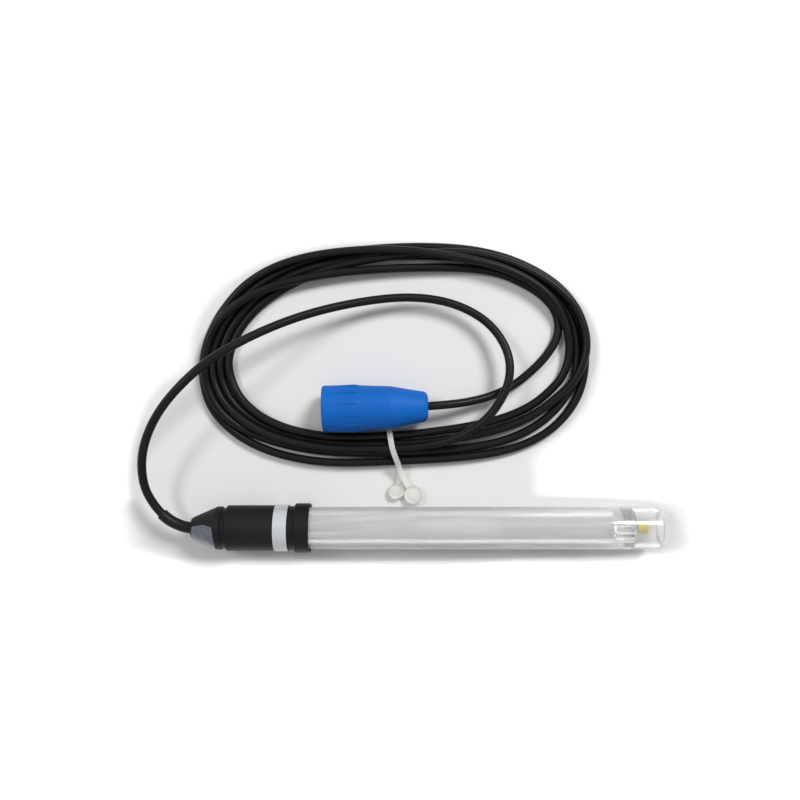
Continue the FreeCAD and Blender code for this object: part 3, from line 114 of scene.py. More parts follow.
# Wound turns, 24 points to a turn, clockwise from the tie
COIL_ROUTE = [
    (-7.55, 22.52, 4.08), (-26.23, 22.19, 3.82), (-38.90, 24.11, 3.70), (-48.33, 27.57, 3.47),
    (-55.13, 32.07, 3.02), (-60.32, 37.76, 2.39), (-62.98, 47.54, 1.82), (-60.01, 56.87, 1.43),
    (-56.06, 62.74, 1.25), (-50.55, 68.97, 1.23), (-41.62, 74.58, 1.23), (-29.07, 79.16, 1.23),
    (-10.10, 81.34, 1.23), (9.20, 81.20, 1.23), (22.46, 78.74, 1.23), (32.47, 74.41, 1.23),
    (39.93, 69.25, 1.23), (45.09, 62.56, 1.23), (47.17, 51.87, 1.23), (46.34, 41.10, 1.23),
    (42.46, 33.16, 1.23), (35.49, 26.44, 1.32), (25.16, 21.85, 1.52), (11.70, 19.71, 1.80),
    (-7.41, 18.73, 2.00), (-26.59, 17.94, 1.80), (-39.98, 19.77, 1.51), (-50.51, 23.41, 1.31),
    (-58.29, 28.81, 1.23), (-63.73, 35.84, 1.23), (-65.56, 46.93, 1.23), (-62.40, 57.24, 1.36),
    (-58.14, 63.99, 1.73), (-52.04, 70.66, 2.35), (-42.43, 75.95, 3.19), (-29.33, 79.11, 4.06),
    (-10.33, 80.29, 4.77), (8.88, 77.91, 4.99), (21.66, 75.13, 4.73), (30.80, 70.97, 4.31),
    (36.83, 66.09, 3.84), (40.30, 60.66, 3.23), (42.54, 51.83, 2.40), (40.76, 43.91, 1.71),
    (36.61, 39.13, 1.31), (30.98, 34.59, 1.23), (22.34, 30.88, 1.41), (10.18, 28.23, 1.85),
    (-7.68, 26.12, 2.45), (-26.00, 25.50, 2.95), (-38.12, 27.44, 3.03), (-46.59, 30.77, 2.68),
    (-51.89, 34.79, 2.12), (-55.52, 39.28, 1.63), (-58.06, 47.21, 1.33), (-55.53, 54.84, 1.23),
    (-52.45, 59.73, 1.23), (-47.48, 64.99, 1.23), (-39.35, 70.36, 1.45), (-27.29, 75.36, 2.11),
    (-8.90, 78.79, 2.81), (9.99, 79.79, 3.14), (22.73, 77.45, 3.33), (32.23, 73.22, 3.44),
    (39.28, 68.39, 3.55), (44.73, 62.36, 3.68), (47.45, 51.90, 3.75), (43.87, 42.35, 3.61),
    (38.36, 37.29, 3.10), (32.19, 32.29, 2.54), (23.10, 28.25, 2.20), (10.62, 25.37, 2.09),
    (-7.65, 23.49, 2.00), (-26.20, 23.60, 1.53), (-38.51, 25.72, 1.25), (-47.39, 28.98, 1.23),
    (-53.60, 32.94, 1.23), (-58.11, 38.06, 1.23), (-60.56, 47.02, 1.23), (-57.89, 55.46, 1.23),
    (-54.49, 60.76, 1.24), (-49.51, 66.66, 1.23), (-41.19, 72.12, 1.23), (-29.19, 76.75, 1.23),
    (-10.71, 78.77, 1.23), (8.66, 78.65, 1.23), (21.75, 76.37, 1.23), (31.30, 72.26, 1.23),
    (37.80, 67.28, 1.23), (42.49, 61.65, 1.23), (44.67, 51.87, 1.23), (44.06, 42.19, 1.23),
    (40.04, 35.55, 1.23), (33.75, 29.49, 1.34), (24.21, 24.75, 1.57), (11.21, 22.13, 1.86),
    (-7.58, 21.11, 2.00), (-26.41, 21.13, 1.65), (-39.21, 22.98, 1.49), (-49.05, 25.92, 1.75),
    (-56.62, 30.05, 2.43), (-62.05, 36.24, 3.14), (-64.79, 46.70, 3.59), (-62.06, 56.96, 3.83),
    (-56.75, 62.75, 3.97), (-49.80, 67.20, 4.02), (-40.49, 70.58, 3.91), (-28.06, 73.26, 3.38),
    (-10.01, 74.88, 2.56), (8.95, 75.32, 1.85), (21.50, 74.01, 1.41), (30.25, 69.85, 1.24),
]

# Parts of the table, in millimetres, where soft shade round the object is painted in as grey:
# middle, half sizes and how square each is
PAINTED_SHADE_PATCHES = [
    ((-8.7, 48.6), (58.5, 33.5), 2.3), ((-67.0, 17.5), (17.5, 26.0), 2.2),
    ((-24.0, 8.0), (54.5, 17.5), 5.0), ((-5.0, -0.9), (77.5, 8.6), 5.0),
]
TABLE_FADE = 5.0
TABLE_SIZE, TABLE_DROP, TABLE_GLOW = 4.0, 0.00002, 0.52
ROOM_LIGHT = 0.41
CAMERA_OVER = (-0.0073, 0.0365)

# Lamps in metres: name, place, size and share of the power
LAMPS = [("window", (0.47, 0.60, 0.82), 0.34, 1.0), ("side", (-0.60, 0.30, 0.80), 0.22, 0.3)]
LAMP_AIM = (0, 0.03, 0)


# Sizes and colours that a user would change

class CableSettings(bpy.types.PropertyGroup):
    """Coaxial cable and its finish."""
    diameter: bpy.props.FloatProperty(
        name="Cable diameter", description="Outside of the jacket", default=0.00245, min=0.001,
        max=0.006, subtype="DISTANCE", unit="LENGTH", precision=5)
    jacket: bpy.props.FloatVectorProperty(
        name="Jacket", description="Colour of the cable's jacket", default=(0.0045, 0.0048, 0.005),
        size=3, min=0.0, max=1.0, subtype="COLOR")
    jacket_roughness: bpy.props.FloatProperty(
        name="Jacket roughness", description="Satin of the jacket", default=0.36, min=0.0, max=1.0,
        subtype="FACTOR")


class ElectrodeSettings(bpy.types.PropertyGroup):
    """Finishes of the head, the shaft and what is inside it."""
    moulding: bpy.props.FloatVectorProperty(
        name="Head", description="Colour of the black mouldings", default=(0.0055, 0.0058, 0.0068),
        size=3, min=0.0, max=1.0, subtype="COLOR")
    sealant: bpy.props.FloatVectorProperty(
        name="Sealant", description="Colour of the compound on the nose",
        default=(0.058, 0.068, 0.088), size=3, min=0.0, max=1.0, subtype="COLOR")
    band: bpy.props.FloatVectorProperty(
        name="Band", description="Colour of the silver band", default=(0.50, 0.515, 0.53),
        size=3, min=0.0, max=1.0, subtype="COLOR")
    shaft: bpy.props.FloatVectorProperty(
        name="Shaft", description="Tint of the clear shaft", default=(0.87, 0.885, 0.87),
        size=3, min=0.0, max=1.0, subtype="COLOR")
    resin: bpy.props.FloatVectorProperty(
        name="Resin", description="Colour of the milky plug", default=(0.74, 0.755, 0.73),
        size=3, min=0.0, max=1.0, subtype="COLOR")
    gold: bpy.props.FloatVectorProperty(
        name="Gold", description="Colour of the sensor's cap", default=(0.52, 0.36, 0.02),
        size=3, min=0.0, max=1.0, subtype="COLOR")


class PlugSettings(bpy.types.PropertyGroup):
    """Finishes of the plug, its hood and the tie."""
    hood: bpy.props.FloatVectorProperty(
        name="Hood", description="Colour of the hood", default=(0.005, 0.104, 0.42),
        size=3, min=0.0, max=1.0, subtype="COLOR")
    nickel: bpy.props.FloatVectorProperty(
        name="Nickel", description="Colour of the plated metal", default=(0.60, 0.58, 0.54),
        size=3, min=0.0, max=1.0, subtype="COLOR")
    tie: bpy.props.FloatVectorProperty(
        name="Tie", description="Colour of the nylon tie", default=(0.90, 0.905, 0.86),
        size=3, min=0.0, max=1.0, subtype="COLOR")


class StageSettings(bpy.types.PropertyGroup):
    """Table, lamps and camera."""
    camera_height: bpy.props.FloatProperty(
        name="Camera height", description="Camera above the table", default=0.236, min=0.1, max=1.0,
        subtype="DISTANCE", unit="LENGTH", precision=4)
    lens: bpy.props.FloatProperty(
        name="Lens", description="Focal length on a 36 mm sensor", default=36.108, min=10.0,
        max=200.0, unit="CAMERA")
    lamp_power: bpy.props.FloatProperty(
        name="Lamp power", description="Power of the large lamp", default=9.2, min=0.0, max=50.0,
        unit="POWER")


# Node groups that several materials share

def new_group(name, inputs, outputs):
    group = bpy.data.node_groups.new(name, "ShaderNodeTree")
    for label, kind, value in inputs:
        socket = group.interface.new_socket(label, in_out="INPUT", socket_type=kind)
        socket.default_value = value
    for label, kind in outputs:
        group.interface.new_socket(label, in_out="OUTPUT", socket_type=kind)
    return group, group.nodes.new("NodeGroupInput"), group.nodes.new("NodeGroupOutput")


def math_node(tree, operation, first, second, clamp=False):
    node = tree.nodes.new("ShaderNodeMath")
    node.operation = operation
    node.use_clamp = clamp
    for socket, value in zip(node.inputs, (first, second)):
        if isinstance(value, (int, float)):
            socket.default_value = value
        else:
            tree.links.new(value, socket)
    return node.outputs[0]


def noise_node(tree, coordinates, scale, detail=3.0, roughness=0.5):
    node = tree.nodes.new("ShaderNodeTexNoise")
    node.inputs["Detail"].default_value = detail
    node.inputs["Roughness"].default_value = roughness
    if isinstance(scale, (int, float)):
        node.inputs["Scale"].default_value = scale
    else:
        tree.links.new(scale, node.inputs["Scale"])
    tree.links.new(coordinates, node.inputs["Vector"])
    return node.outputs["Fac"]


def mix_node(tree, mask, first, second):
    node = tree.nodes.new("ShaderNodeMix")
    node.data_type = "RGBA"
    tree.links.new(mask, node.inputs["Factor"])
    for label, value in (("A", first), ("B", second)):
        if isinstance(value, tuple):
            node.inputs[label].default_value = (*value, 1.0)
        else:
            tree.links.new(value, node.inputs[label])
    return node.outputs["Result"]


def axes(tree, vector):
    node = tree.nodes.new("ShaderNodeSeparateXYZ")
    tree.links.new(vector, node.inputs["Vector"])
    return node.outputs


def seen_rays(tree):
    """One for what is seen directly, mirrored or through glass, zero for what only lights."""
    path = tree.nodes.new("ShaderNodeLightPath")
    seen = math_node(tree, "ADD", path.outputs["Is Camera Ray"], path.outputs["Is Glossy Ray"],
                     clamp=True)
    return math_node(tree, "ADD", seen, path.outputs["Is Transmission Ray"], clamp=True)


def build_grain_group():
    """Fine moulded grain: a height, and a roughness that varies a little."""
    group, given, out = new_group(
        "Moulded grain",
        [("Vector", "NodeSocketVector", (0, 0, 0)), ("Grain size", "NodeSocketFloat", 4000.0),
         ("Roughness", "NodeSocketFloat", 0.5), ("Variation", "NodeSocketFloat", 0.1)],
        [("Height", "NodeSocketFloat"), ("Roughness", "NodeSocketFloat")])
    fine = noise_node(group, given.outputs["Vector"], given.outputs["Grain size"], 2.0, 0.6)
    broad = noise_node(group, given.outputs["Vector"], 160.0, 3.0, 0.55)
    centred = math_node(group, "SUBTRACT", broad, 0.5)
    swing = math_node(group, "MULTIPLY", centred, given.outputs["Variation"])
    rough = math_node(group, "ADD", given.outputs["Roughness"], swing, clamp=True)
    group.links.new(fine, out.inputs["Height"])
    group.links.new(rough, out.inputs["Roughness"])
    return group


def build_mottle_group():
    """Slow change between two colours, as in cast resin, dust or handled plastic."""
    group, given, out = new_group(
        "Colour mottle",
        [("Vector", "NodeSocketVector", (0, 0, 0)), ("Scale", "NodeSocketFloat", 200.0),
         ("First", "NodeSocketColor", (0.5, 0.5, 0.5, 1)),
         ("Second", "NodeSocketColor", (0.5, 0.5, 0.5, 1)),
         ("Amount", "NodeSocketFloat", 1.0)],
        [("Color", "NodeSocketColor"), ("Mask", "NodeSocketFloat")])
    cloud = noise_node(group, given.outputs["Vector"], given.outputs["Scale"], 4.0, 0.6)
    spread = math_node(group, "MULTIPLY", math_node(group, "SUBTRACT", cloud, 0.42), 4.0,
                       clamp=True)
    mask = math_node(group, "MULTIPLY", spread, given.outputs["Amount"], clamp=True)
    color = mix_node(group, mask, given.outputs["First"], given.outputs["Second"])
    group.links.new(color, out.inputs["Color"])
    group.links.new(mask, out.inputs["Mask"])
    return group


def build_scratch_group():
    """Long faint scratches along X, as wiping leaves them."""
    group, given, out = new_group(
        "Wiping scratches",
        [("Vector", "NodeSocketVector", (0, 0, 0)), ("Density", "NodeSocketFloat", 900.0)],
        [("Height", "NodeSocketFloat"), ("Mask", "NodeSocketFloat")])
    stretch = group.nodes.new("ShaderNodeVectorMath")
    stretch.operation = "MULTIPLY"
    stretch.inputs[1].default_value = (0.03, 1.0, 1.0)
    group.links.new(given.outputs["Vector"], stretch.inputs[0])
    lines = noise_node(group, stretch.outputs["Vector"], given.outputs["Density"], 2.0, 0.5)
    mask = math_node(group, "MULTIPLY", math_node(group, "SUBTRACT", lines, 0.6), 5.0, clamp=True)
    group.links.new(lines, out.inputs["Height"])
    group.links.new(mask, out.inputs["Mask"])
    return group


GROUPS = {}


def shared(name):
    makers = {"grain": build_grain_group, "mottle": build_mottle_group,
              "scratches": build_scratch_group}
    if name not in GROUPS:
        GROUPS[name] = makers[name]()
    return GROUPS[name]


# Materials

def place_group(tree, name, **values):
    node = tree.nodes.new("ShaderNodeGroup")
    node.node_tree = shared(name)
    for label, value in values.items():
        node.inputs[label.replace("_", " ")].default_value = value
    return node


def object_place(tree):
    node = tree.nodes.new("ShaderNodeTexCoord")
    return node.outputs["Object"]


def new_material(name, color, roughness=0.5, metallic=0.0, **sockets):
    """Principled material with its plain values on the shader's own sockets."""
    material = bpy.data.materials.new(name)
    material.use_nodes = True
    shader = material.node_tree.nodes["Principled BSDF"]
    shader.inputs["Base Color"].default_value = (*color, 1.0)
    shader.inputs["Roughness"].default_value = roughness
    shader.inputs["Metallic"].default_value = metallic
    for label, value in sockets.items():
        shader.inputs[label.replace("_", " ")].default_value = value
    return material, material.node_tree, shader


def add_bump(tree, shader, height, distance, strength=1.0):
    bump = tree.nodes.new("ShaderNodeBump")
    bump.inputs["Strength"].default_value = strength
    bump.inputs["Distance"].default_value = distance
    tree.links.new(height, bump.inputs["Height"])
    tree.links.new(bump.outputs["Normal"], shader.inputs["Normal"])


def add_grain(tree, shader, size=4000.0, roughness=0.5, variation=0.1, depth=0.00001):
    grain = place_group(tree, "grain", Grain_size=size, Roughness=roughness, Variation=variation)
    tree.links.new(object_place(tree), grain.inputs["Vector"])
    tree.links.new(grain.outputs["Roughness"], shader.inputs["Roughness"])
    add_bump(tree, shader, grain.outputs["Height"], depth)


def add_mottle(tree, shader, first, second, scale=200.0, amount=1.0):
    mottle = place_group(tree, "mottle", Scale=scale, First=(*first, 1.0), Second=(*second, 1.0),
                         Amount=amount)
    tree.links.new(object_place(tree), mottle.inputs["Vector"])
    tree.links.new(mottle.outputs["Color"], shader.inputs["Base Color"])
    return mottle


def add_scuffs(tree, shader, scuff, amount=0.5, turn=0.0):
    """Lays pale rub marks along a moulding over the colour that it already has."""
    scuffs = place_group(tree, "scratches", Density=1100.0)
    mapping = tree.nodes.new("ShaderNodeMapping")
    mapping.inputs["Rotation"].default_value = (0, 0, turn)
    tree.links.new(object_place(tree), mapping.inputs["Vector"])
    tree.links.new(mapping.outputs["Vector"], scuffs.inputs["Vector"])
    patches = noise_node(tree, object_place(tree), 260.0, 3.0, 0.6)
    where = math_node(tree, "MULTIPLY", math_node(tree, "SUBTRACT", patches, 0.5), 5.0, clamp=True)
    rubbed = math_node(tree, "MULTIPLY", scuffs.outputs["Mask"], where)
    mask = math_node(tree, "MULTIPLY", rubbed, amount)
    color = shader.inputs["Base Color"].links[0].from_socket
    tree.links.new(mix_node(tree, mask, color, scuff), shader.inputs["Base Color"])


def lighter(color, factor):
    return tuple(min(1.0, channel * factor) for channel in color)


def jacket_material(settings):
    material, tree, shader = new_material(
        "Cable jacket", settings.jacket, settings.jacket_roughness, Specular_IOR_Level=0.12)
    add_mottle(tree, shader, settings.jacket, lighter(settings.jacket, 1.7), 90.0, 0.7)
    add_grain(tree, shader, 2500.0, settings.jacket_roughness, 0.12, 0.000008)
    return material


def moulding_material(settings):
    material, tree, shader = new_material("Black moulding", settings.moulding, 0.5,
                                          Specular_IOR_Level=0.13)
    add_mottle(tree, shader, settings.moulding, lighter(settings.moulding, 1.6), 120.0, 0.6)
    add_scuffs(tree, shader, lighter(settings.moulding, 5.0), 0.5, math.pi / 2)
    add_grain(tree, shader, 5000.0, 0.46, 0.16, 0.000012)
    return material


def sleeve_material(settings):
    material, tree, shader = new_material("Shrink sleeve", settings.jacket, 0.42,
                                          Specular_IOR_Level=0.14)
    add_mottle(tree, shader, settings.jacket, lighter(settings.jacket, 2.0), 150.0, 0.7)
    add_grain(tree, shader, 1800.0, 0.4, 0.2, 0.00002)
    return material


def sealant_material(settings):
    material, tree, shader = new_material("Nose compound", settings.sealant, 0.25, Coat_Weight=0.4)
    add_mottle(tree, shader, settings.sealant, lighter(settings.sealant, 1.9), 800.0, 0.75)
    add_grain(tree, shader, 900.0, 0.26, 0.2, 0.00003)
    return material


def band_material(settings):
    material, tree, shader = new_material("Silver band", settings.band, 0.34, 0.25)
    add_mottle(tree, shader, settings.band, lighter(settings.band, 0.9), 300.0, 0.6)
    add_grain(tree, shader, 3000.0, 0.34, 0.1, 0.000004)
    return material


def clear_material(name, tint, roughness, ior=1.49, clearness=1.0):
    """Clear plastic. Below a clearness of one it is also milky."""
    material, tree, shader = new_material(
        name, tint, roughness, IOR=ior, Transmission_Weight=clearness, Specular_IOR_Level=0.08)
    scratches = place_group(tree, "scratches", Density=1400.0)
    tree.links.new(object_place(tree), scratches.inputs["Vector"])
    added = math_node(tree, "MULTIPLY", scratches.outputs["Mask"], 0.05)
    rough = math_node(tree, "ADD", added, roughness)
    tree.links.new(rough, shader.inputs["Roughness"])
    add_bump(tree, shader, scratches.outputs["Height"], 0.0000003)
    return material


def resin_material(settings):
    material, tree, shader = new_material(
        "Milky resin", settings.resin, 0.35, IOR=1.49, Transmission_Weight=0.35,
        Subsurface_Weight=0.4, Subsurface_Radius=(0.004, 0.004, 0.004), Subsurface_Scale=1.0)
    add_mottle(tree, shader, settings.resin, lighter(settings.resin, 1.1), 140.0, 0.8)
    add_grain(tree, shader, 1200.0, 0.35, 0.1, 0.00001)
    return material


def metal_material(name, color, roughness=0.22, metallic=1.0):
    material, tree, shader = new_material(name, color, roughness, metallic)
    add_mottle(tree, shader, color, lighter(color, 0.86), 350.0, 0.6)
    add_grain(tree, shader, 3500.0, roughness, 0.14, 0.000005)
    return material


def plain_plastic(name, color, roughness=0.4, **sockets):
    material, tree, shader = new_material(name, color, roughness, **sockets)
    add_mottle(tree, shader, color, lighter(color, 0.88), 260.0, 0.7)
    add_grain(tree, shader, 2600.0, roughness, 0.12, 0.00001)
    return material


def hood_material(settings):
    material, tree, shader = new_material("Blue hood", settings.hood, 0.5, Specular_IOR_Level=0.12)
    add_mottle(tree, shader, settings.hood, lighter(settings.hood, 1.12), 110.0, 0.8)
    add_scuffs(tree, shader, (0.02, 0.15, 0.48), 0.4)
    add_grain(tree, shader, 4200.0, 0.5, 0.12, 0.00001)
    return material


def tie_material(settings):
    material, tree, shader = new_material(
        "Natural nylon", settings.tie, 0.35, IOR=1.25, Transmission_Weight=0.6,
        Specular_IOR_Level=0.4)
    add_mottle(tree, shader, settings.tie, lighter(settings.tie, 1.06), 300.0, 0.6)
    grain = place_group(tree, "grain", Grain_size=2200.0, Roughness=0.3, Variation=0.1)
    place = object_place(tree)
    tree.links.new(place, grain.inputs["Vector"])
    tree.links.new(grain.outputs["Roughness"], shader.inputs["Roughness"])
    mapping = tree.nodes.new("ShaderNodeMapping")
    mapping.inputs["Rotation"].default_value = (0, 0, -TIE_TURN)
    tree.links.new(place, mapping.inputs["Vector"])
    ribs = tree.nodes.new("ShaderNodeTexWave")
    ribs.inputs["Scale"].default_value = 520.0
    tree.links.new(mapping.outputs["Vector"], ribs.inputs["Vector"])
    ends = (TIE_CENTRE[0] * math.cos(TIE_TURN) + TIE_CENTRE[1] * math.sin(TIE_TURN)
            + TIE_RIBBED) * MM
    before_ends = math_node(tree, "SUBTRACT", ends, axes(tree, mapping.outputs["Vector"])["X"])
    on_strap = math_node(tree, "MULTIPLY", before_ends, 900.0, clamp=True)
    height = math_node(tree, "ADD", math_node(tree, "MULTIPLY", ribs.outputs["Fac"], on_strap),
                       math_node(tree, "MULTIPLY", grain.outputs["Height"], 0.3))
    add_bump(tree, shader, height, 0.00004)
    return material


def finish_node(node, material):
    """Gives one of the part's own nodes a finish."""
    for slot in NODES[node].material_slots:
        slot.link = "OBJECT"
        slot.material = material


def clear_selection():
    if bpy.context.mode != "OBJECT":
        bpy.ops.object.mode_set(mode="OBJECT")
    bpy.ops.object.select_all(action="DESELECT")


def select_faces(piece, wanted):
    """Opens a piece in edit mode with only the wanted faces selected."""
    bpy.context.view_layer.objects.active = piece
    bpy.ops.object.mode_set(mode="EDIT")
    bpy.ops.mesh.select_mode(type="FACE")
    bpy.ops.mesh.select_all(action="DESELECT")
    bpy.ops.object.mode_set(mode="OBJECT")
    for face in piece.data.polygons:
        face.select = wanted(face)
    bpy.ops.object.mode_set(mode="EDIT")


def select_whole(piece):
    """Opens a piece in edit mode with all of it selected."""
    bpy.context.view_layer.objects.active = piece
    bpy.ops.object.mode_set(mode="EDIT")
    bpy.ops.mesh.select_all(action="SELECT")


def draw_out(stations, start):
    """Extrudes the selected round face along X, through places and radii."""
    place, radius = start
    for new_place, new_radius in stations:
        step = (new_place - place, 0, 0)
        bpy.ops.mesh.extrude_region_move(TRANSFORM_OT_translate={"value": step})
        scale = new_radius / radius
        bpy.ops.transform.resize(value=(1, scale, scale),
                                 center_override=(new_place, 0, AXIS_HEIGHT))
        place, radius = new_place, new_radius


def add_modifier(piece, kind, **values):
    """Adds a modifier with its values and applies it."""
    modifier = piece.modifiers.new(kind.title(), kind)
    for label, value in values.items():
        setattr(modifier, label, value)
    bpy.context.view_layer.objects.active = piece
    bpy.ops.object.modifier_apply(modifier=modifier.name)


def finish_piece(piece, material, body, node):
    """Smooths a modelled piece, gives it its finish and puts it in place of the part's own node."""
    piece.data.name = piece.name
    piece.data.materials.clear()
    piece.data.materials.append(material)
    clear_selection()
    piece.select_set(True)
    bpy.context.view_layer.objects.active = piece
    bpy.ops.object.shade_smooth_by_angle(angle=math.radians(40))
    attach(piece, body)
    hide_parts(node)


# Cable

def make_cable(settings):
    data = bpy.data.curves.new("cable", "CURVE")
    data.dimensions = "3D"
    data.bevel_depth = settings.diameter / 2
    data.bevel_resolution = 6
    data.resolution_u = 6
    data.use_fill_caps = True
    points = LEAD_ROUTE + COIL_ROUTE + TAIL_ROUTE
    spline = data.splines.new("NURBS")
    spline.points.add(len(points) - 1)
    for control, place in zip(spline.points, points):
        control.co = (*(value * MM for value in place), 1.0)
    spline.order_u = 3
    spline.use_endpoint_u = True
    cable = bpy.data.objects.new("cable", data)
    bpy.context.scene.collection.objects.link(cable)
    data.materials.append(jacket_material(settings))
    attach(cable, "electrode")
    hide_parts("cable_lead", "cable_coil", "cable_tail")
    return cable


def curve_length(curve):
    plain = curve.copy()
    plain.data = curve.data.copy()
    plain.data.bevel_depth = 0.0
    bpy.context.scene.collection.objects.link(plain)
    bpy.context.view_layer.update()
    mesh = bpy.data.meshes.new_from_object(plain)
    length = sum((mesh.vertices[a].co - mesh.vertices[b].co).length
                 for a, b in (edge.vertices for edge in mesh.edges))
    bpy.data.objects.remove(plain)
    bpy.data.meshes.remove(mesh)
    return length


# Operators

class REDOX_OT_stage(bpy.types.Operator):
    """Make the table, the lamps and the camera"""
    bl_idname = "redox.stage"
    bl_label = "Stage"

    def execute(self, context):
        settings = context.scene.redox_stage
        clear_selection()
        bpy.ops.mesh.primitive_plane_add(size=TABLE_SIZE, location=(0, 0, -TABLE_DROP))
        table = context.active_object
        table.name = "table_top"
        bpy.ops.object.transform_apply(location=True)
        table.data.materials.append(self.table_material())
        camera = bpy.data.cameras.new("camera")
        camera.sensor_width = 36.0
        camera.lens = settings.lens
        camera.clip_start = 0.005
        camera.clip_end = 10.0
        holder = bpy.data.objects.new("camera", camera)
        holder.location = (*CAMERA_OVER, settings.camera_height)
        context.scene.collection.objects.link(holder)
        context.scene.camera = holder
        for name, place, size, share in LAMPS:
            self.lamp(name, place, size, settings.lamp_power * share)
        self.world(context)
        context.scene.view_settings.view_transform = "Standard"
        return {"FINISHED"}

    def lamp(self, name, place, size, power):
        data = bpy.data.lights.new(name, "AREA")
        data.shape = "DISK"
        data.size = size
        data.energy = power
        lamp = bpy.data.objects.new(name, data)
        lamp.location = place
        aim = Vector(LAMP_AIM) - Vector(place)
        lamp.rotation_euler = aim.to_track_quat("-Z", "Y").to_euler()
        bpy.context.scene.collection.objects.link(lamp)

    def table_material(self):
        """Painted shade: pale grey close to the object, fading to a plain white glow away from it.
        """
        material, tree, shader = new_material("Table with painted shade", (0.705, 0.705, 0.70), 0.7,
                                              Specular_IOR_Level=0.1)
        far = None
        for centre, reach, squareness in PAINTED_SHADE_PATCHES:
            outside = self.patch_edge(tree, centre, reach, squareness)
            far = outside if far is None else math_node(tree, "MULTIPLY", far, outside)
        # The table glows white only outside the patches, so the greyer patches are painted shade
        # round the object
        seen_far = math_node(tree, "MULTIPLY", far, seen_rays(tree))
        glow = math_node(tree, "MULTIPLY", seen_far, TABLE_GLOW)
        shader.inputs["Emission Color"].default_value = (1, 1, 1, 1)
        tree.links.new(glow, shader.inputs["Emission Strength"])
        return material

    def patch_edge(self, tree, centre, reach, squareness):
        """Zero inside an oval or a rounded box on the table, one outside it."""
        mapping = tree.nodes.new("ShaderNodeMapping")
        mapping.vector_type = "TEXTURE"
        mapping.inputs["Location"].default_value = (*(value * MM for value in centre), 0)
        mapping.inputs["Scale"].default_value = (*(value * MM for value in reach), 1)
        tree.links.new(object_place(tree), mapping.inputs["Vector"])
        parts = axes(tree, mapping.outputs["Vector"])
        sizes = [math_node(tree, "ABSOLUTE", parts[axis], 0.0) for axis in ("X", "Y")]
        powers = [math_node(tree, "POWER", size, squareness) for size in sizes]
        whole = math_node(tree, "POWER", math_node(tree, "ADD", *powers), 1.0 / squareness)
        softness = (reach[0] * reach[1]) ** 0.5 / TABLE_FADE
        past_edge = math_node(tree, "SUBTRACT", whole, 1.0)
        return math_node(tree, "MULTIPLY", past_edge, softness, clamp=True)

    def world(self, context):
        """White where it is seen, dimmer where it only lights."""
        world = bpy.data.worlds.new("Room")
        context.scene.world = world
        world.use_nodes = True
        tree = world.node_tree
        background = tree.nodes["Background"]
        background.inputs["Color"].default_value = (1, 1, 1, 1)
        added = math_node(tree, "MULTIPLY", seen_rays(tree), 1.0 - ROOM_LIGHT)
        strength = math_node(tree, "ADD", added, ROOM_LIGHT)
        tree.links.new(strength, background.inputs["Strength"])


class REDOX_OT_cable(bpy.types.Operator):
    """Make the cable with its coil, from the head to the plug"""
    bl_idname = "redox.cable"
    bl_label = "Cable"

    def execute(self, context):
        settings = context.scene.redox_cable
        cable = make_cable(settings)
        length = curve_length(cable)
        print("cable length", round(length, 4))
        finish_node("shrink_sleeve", sleeve_material(settings))
        return {"FINISHED"}


class REDOX_OT_head(bpy.types.Operator):
    """Finish the black head, its band and the compound on its nose"""
    bl_idname = "redox.head"
    bl_label = "Head"

    def execute(self, context):
        settings = context.scene.redox_electrode
        black = moulding_material(settings)
        for node in ("head_shell", "gland_nose"):
            finish_node(node, black)
        self.compound(settings)
        finish_node("label_band", band_material(settings))
        finish_node("head_potting", plain_plastic("Potting resin", (0.02, 0.02, 0.022), 0.3))
        return {"FINISHED"}

    def compound(self, settings):
        """Compound smeared over one side of the cone, thick in its middle and thin at its edge."""
        across, along = 60, 26
        clear_selection()
        bpy.ops.mesh.primitive_grid_add(x_subdivisions=along, y_subdivisions=across, size=2.0)
        patch = bpy.context.active_object
        patch.name = "nose_compound"
        bpy.ops.object.transform_apply(location=True)
        for vertex in patch.data.vertices:
            u, v = (vertex.co.x + 1) / 2, (vertex.co.y + 1) / 2
            ripple = math.sin(9.0 * v) + 0.6 * math.sin(23.0 * v + 1.0)
            bulge = COMPOUND_BULGE * math.sin(math.pi * min(1.0, v * 0.9 + 0.16)) ** 0.6
            front = COMPOUND_FRONT + bulge + 0.1 * ripple
            back = COMPOUND_REAR + 0.06 * math.sin(17.0 * v)
            station = back + (front - back) * u
            angle = math.radians(-21 + 5.0 * u + 172 * v + 3.0 * math.sin(7.0 * u + 1.0) * (1 - v))
            radius = CONE_RADIUS + CONE_GROWTH * (station - NOSE_AT) / CONE_LENGTH
            lumps = 0.03 * math.sin(11 * u + 4 * v) * math.sin(19 * v + 5 * u)
            edge = (1 - abs(2 * u - 1) ** 4) * (1 - abs(2 * v - 1) ** 6)
            radius += -0.08 + 0.30 * edge ** 0.6 + lumps * edge
            vertex.co = (station * MM, -radius * math.sin(angle) * MM,
                         AXIS_HEIGHT + radius * math.cos(angle) * MM)
        select_whole(patch)
        bpy.ops.mesh.flip_normals()
        bpy.ops.object.mode_set(mode="OBJECT")
        add_modifier(patch, "SOLIDIFY", thickness=0.0002, offset=-1.0)
        finish_piece(patch, sealant_material(settings), "electrode", "nose_sealant")


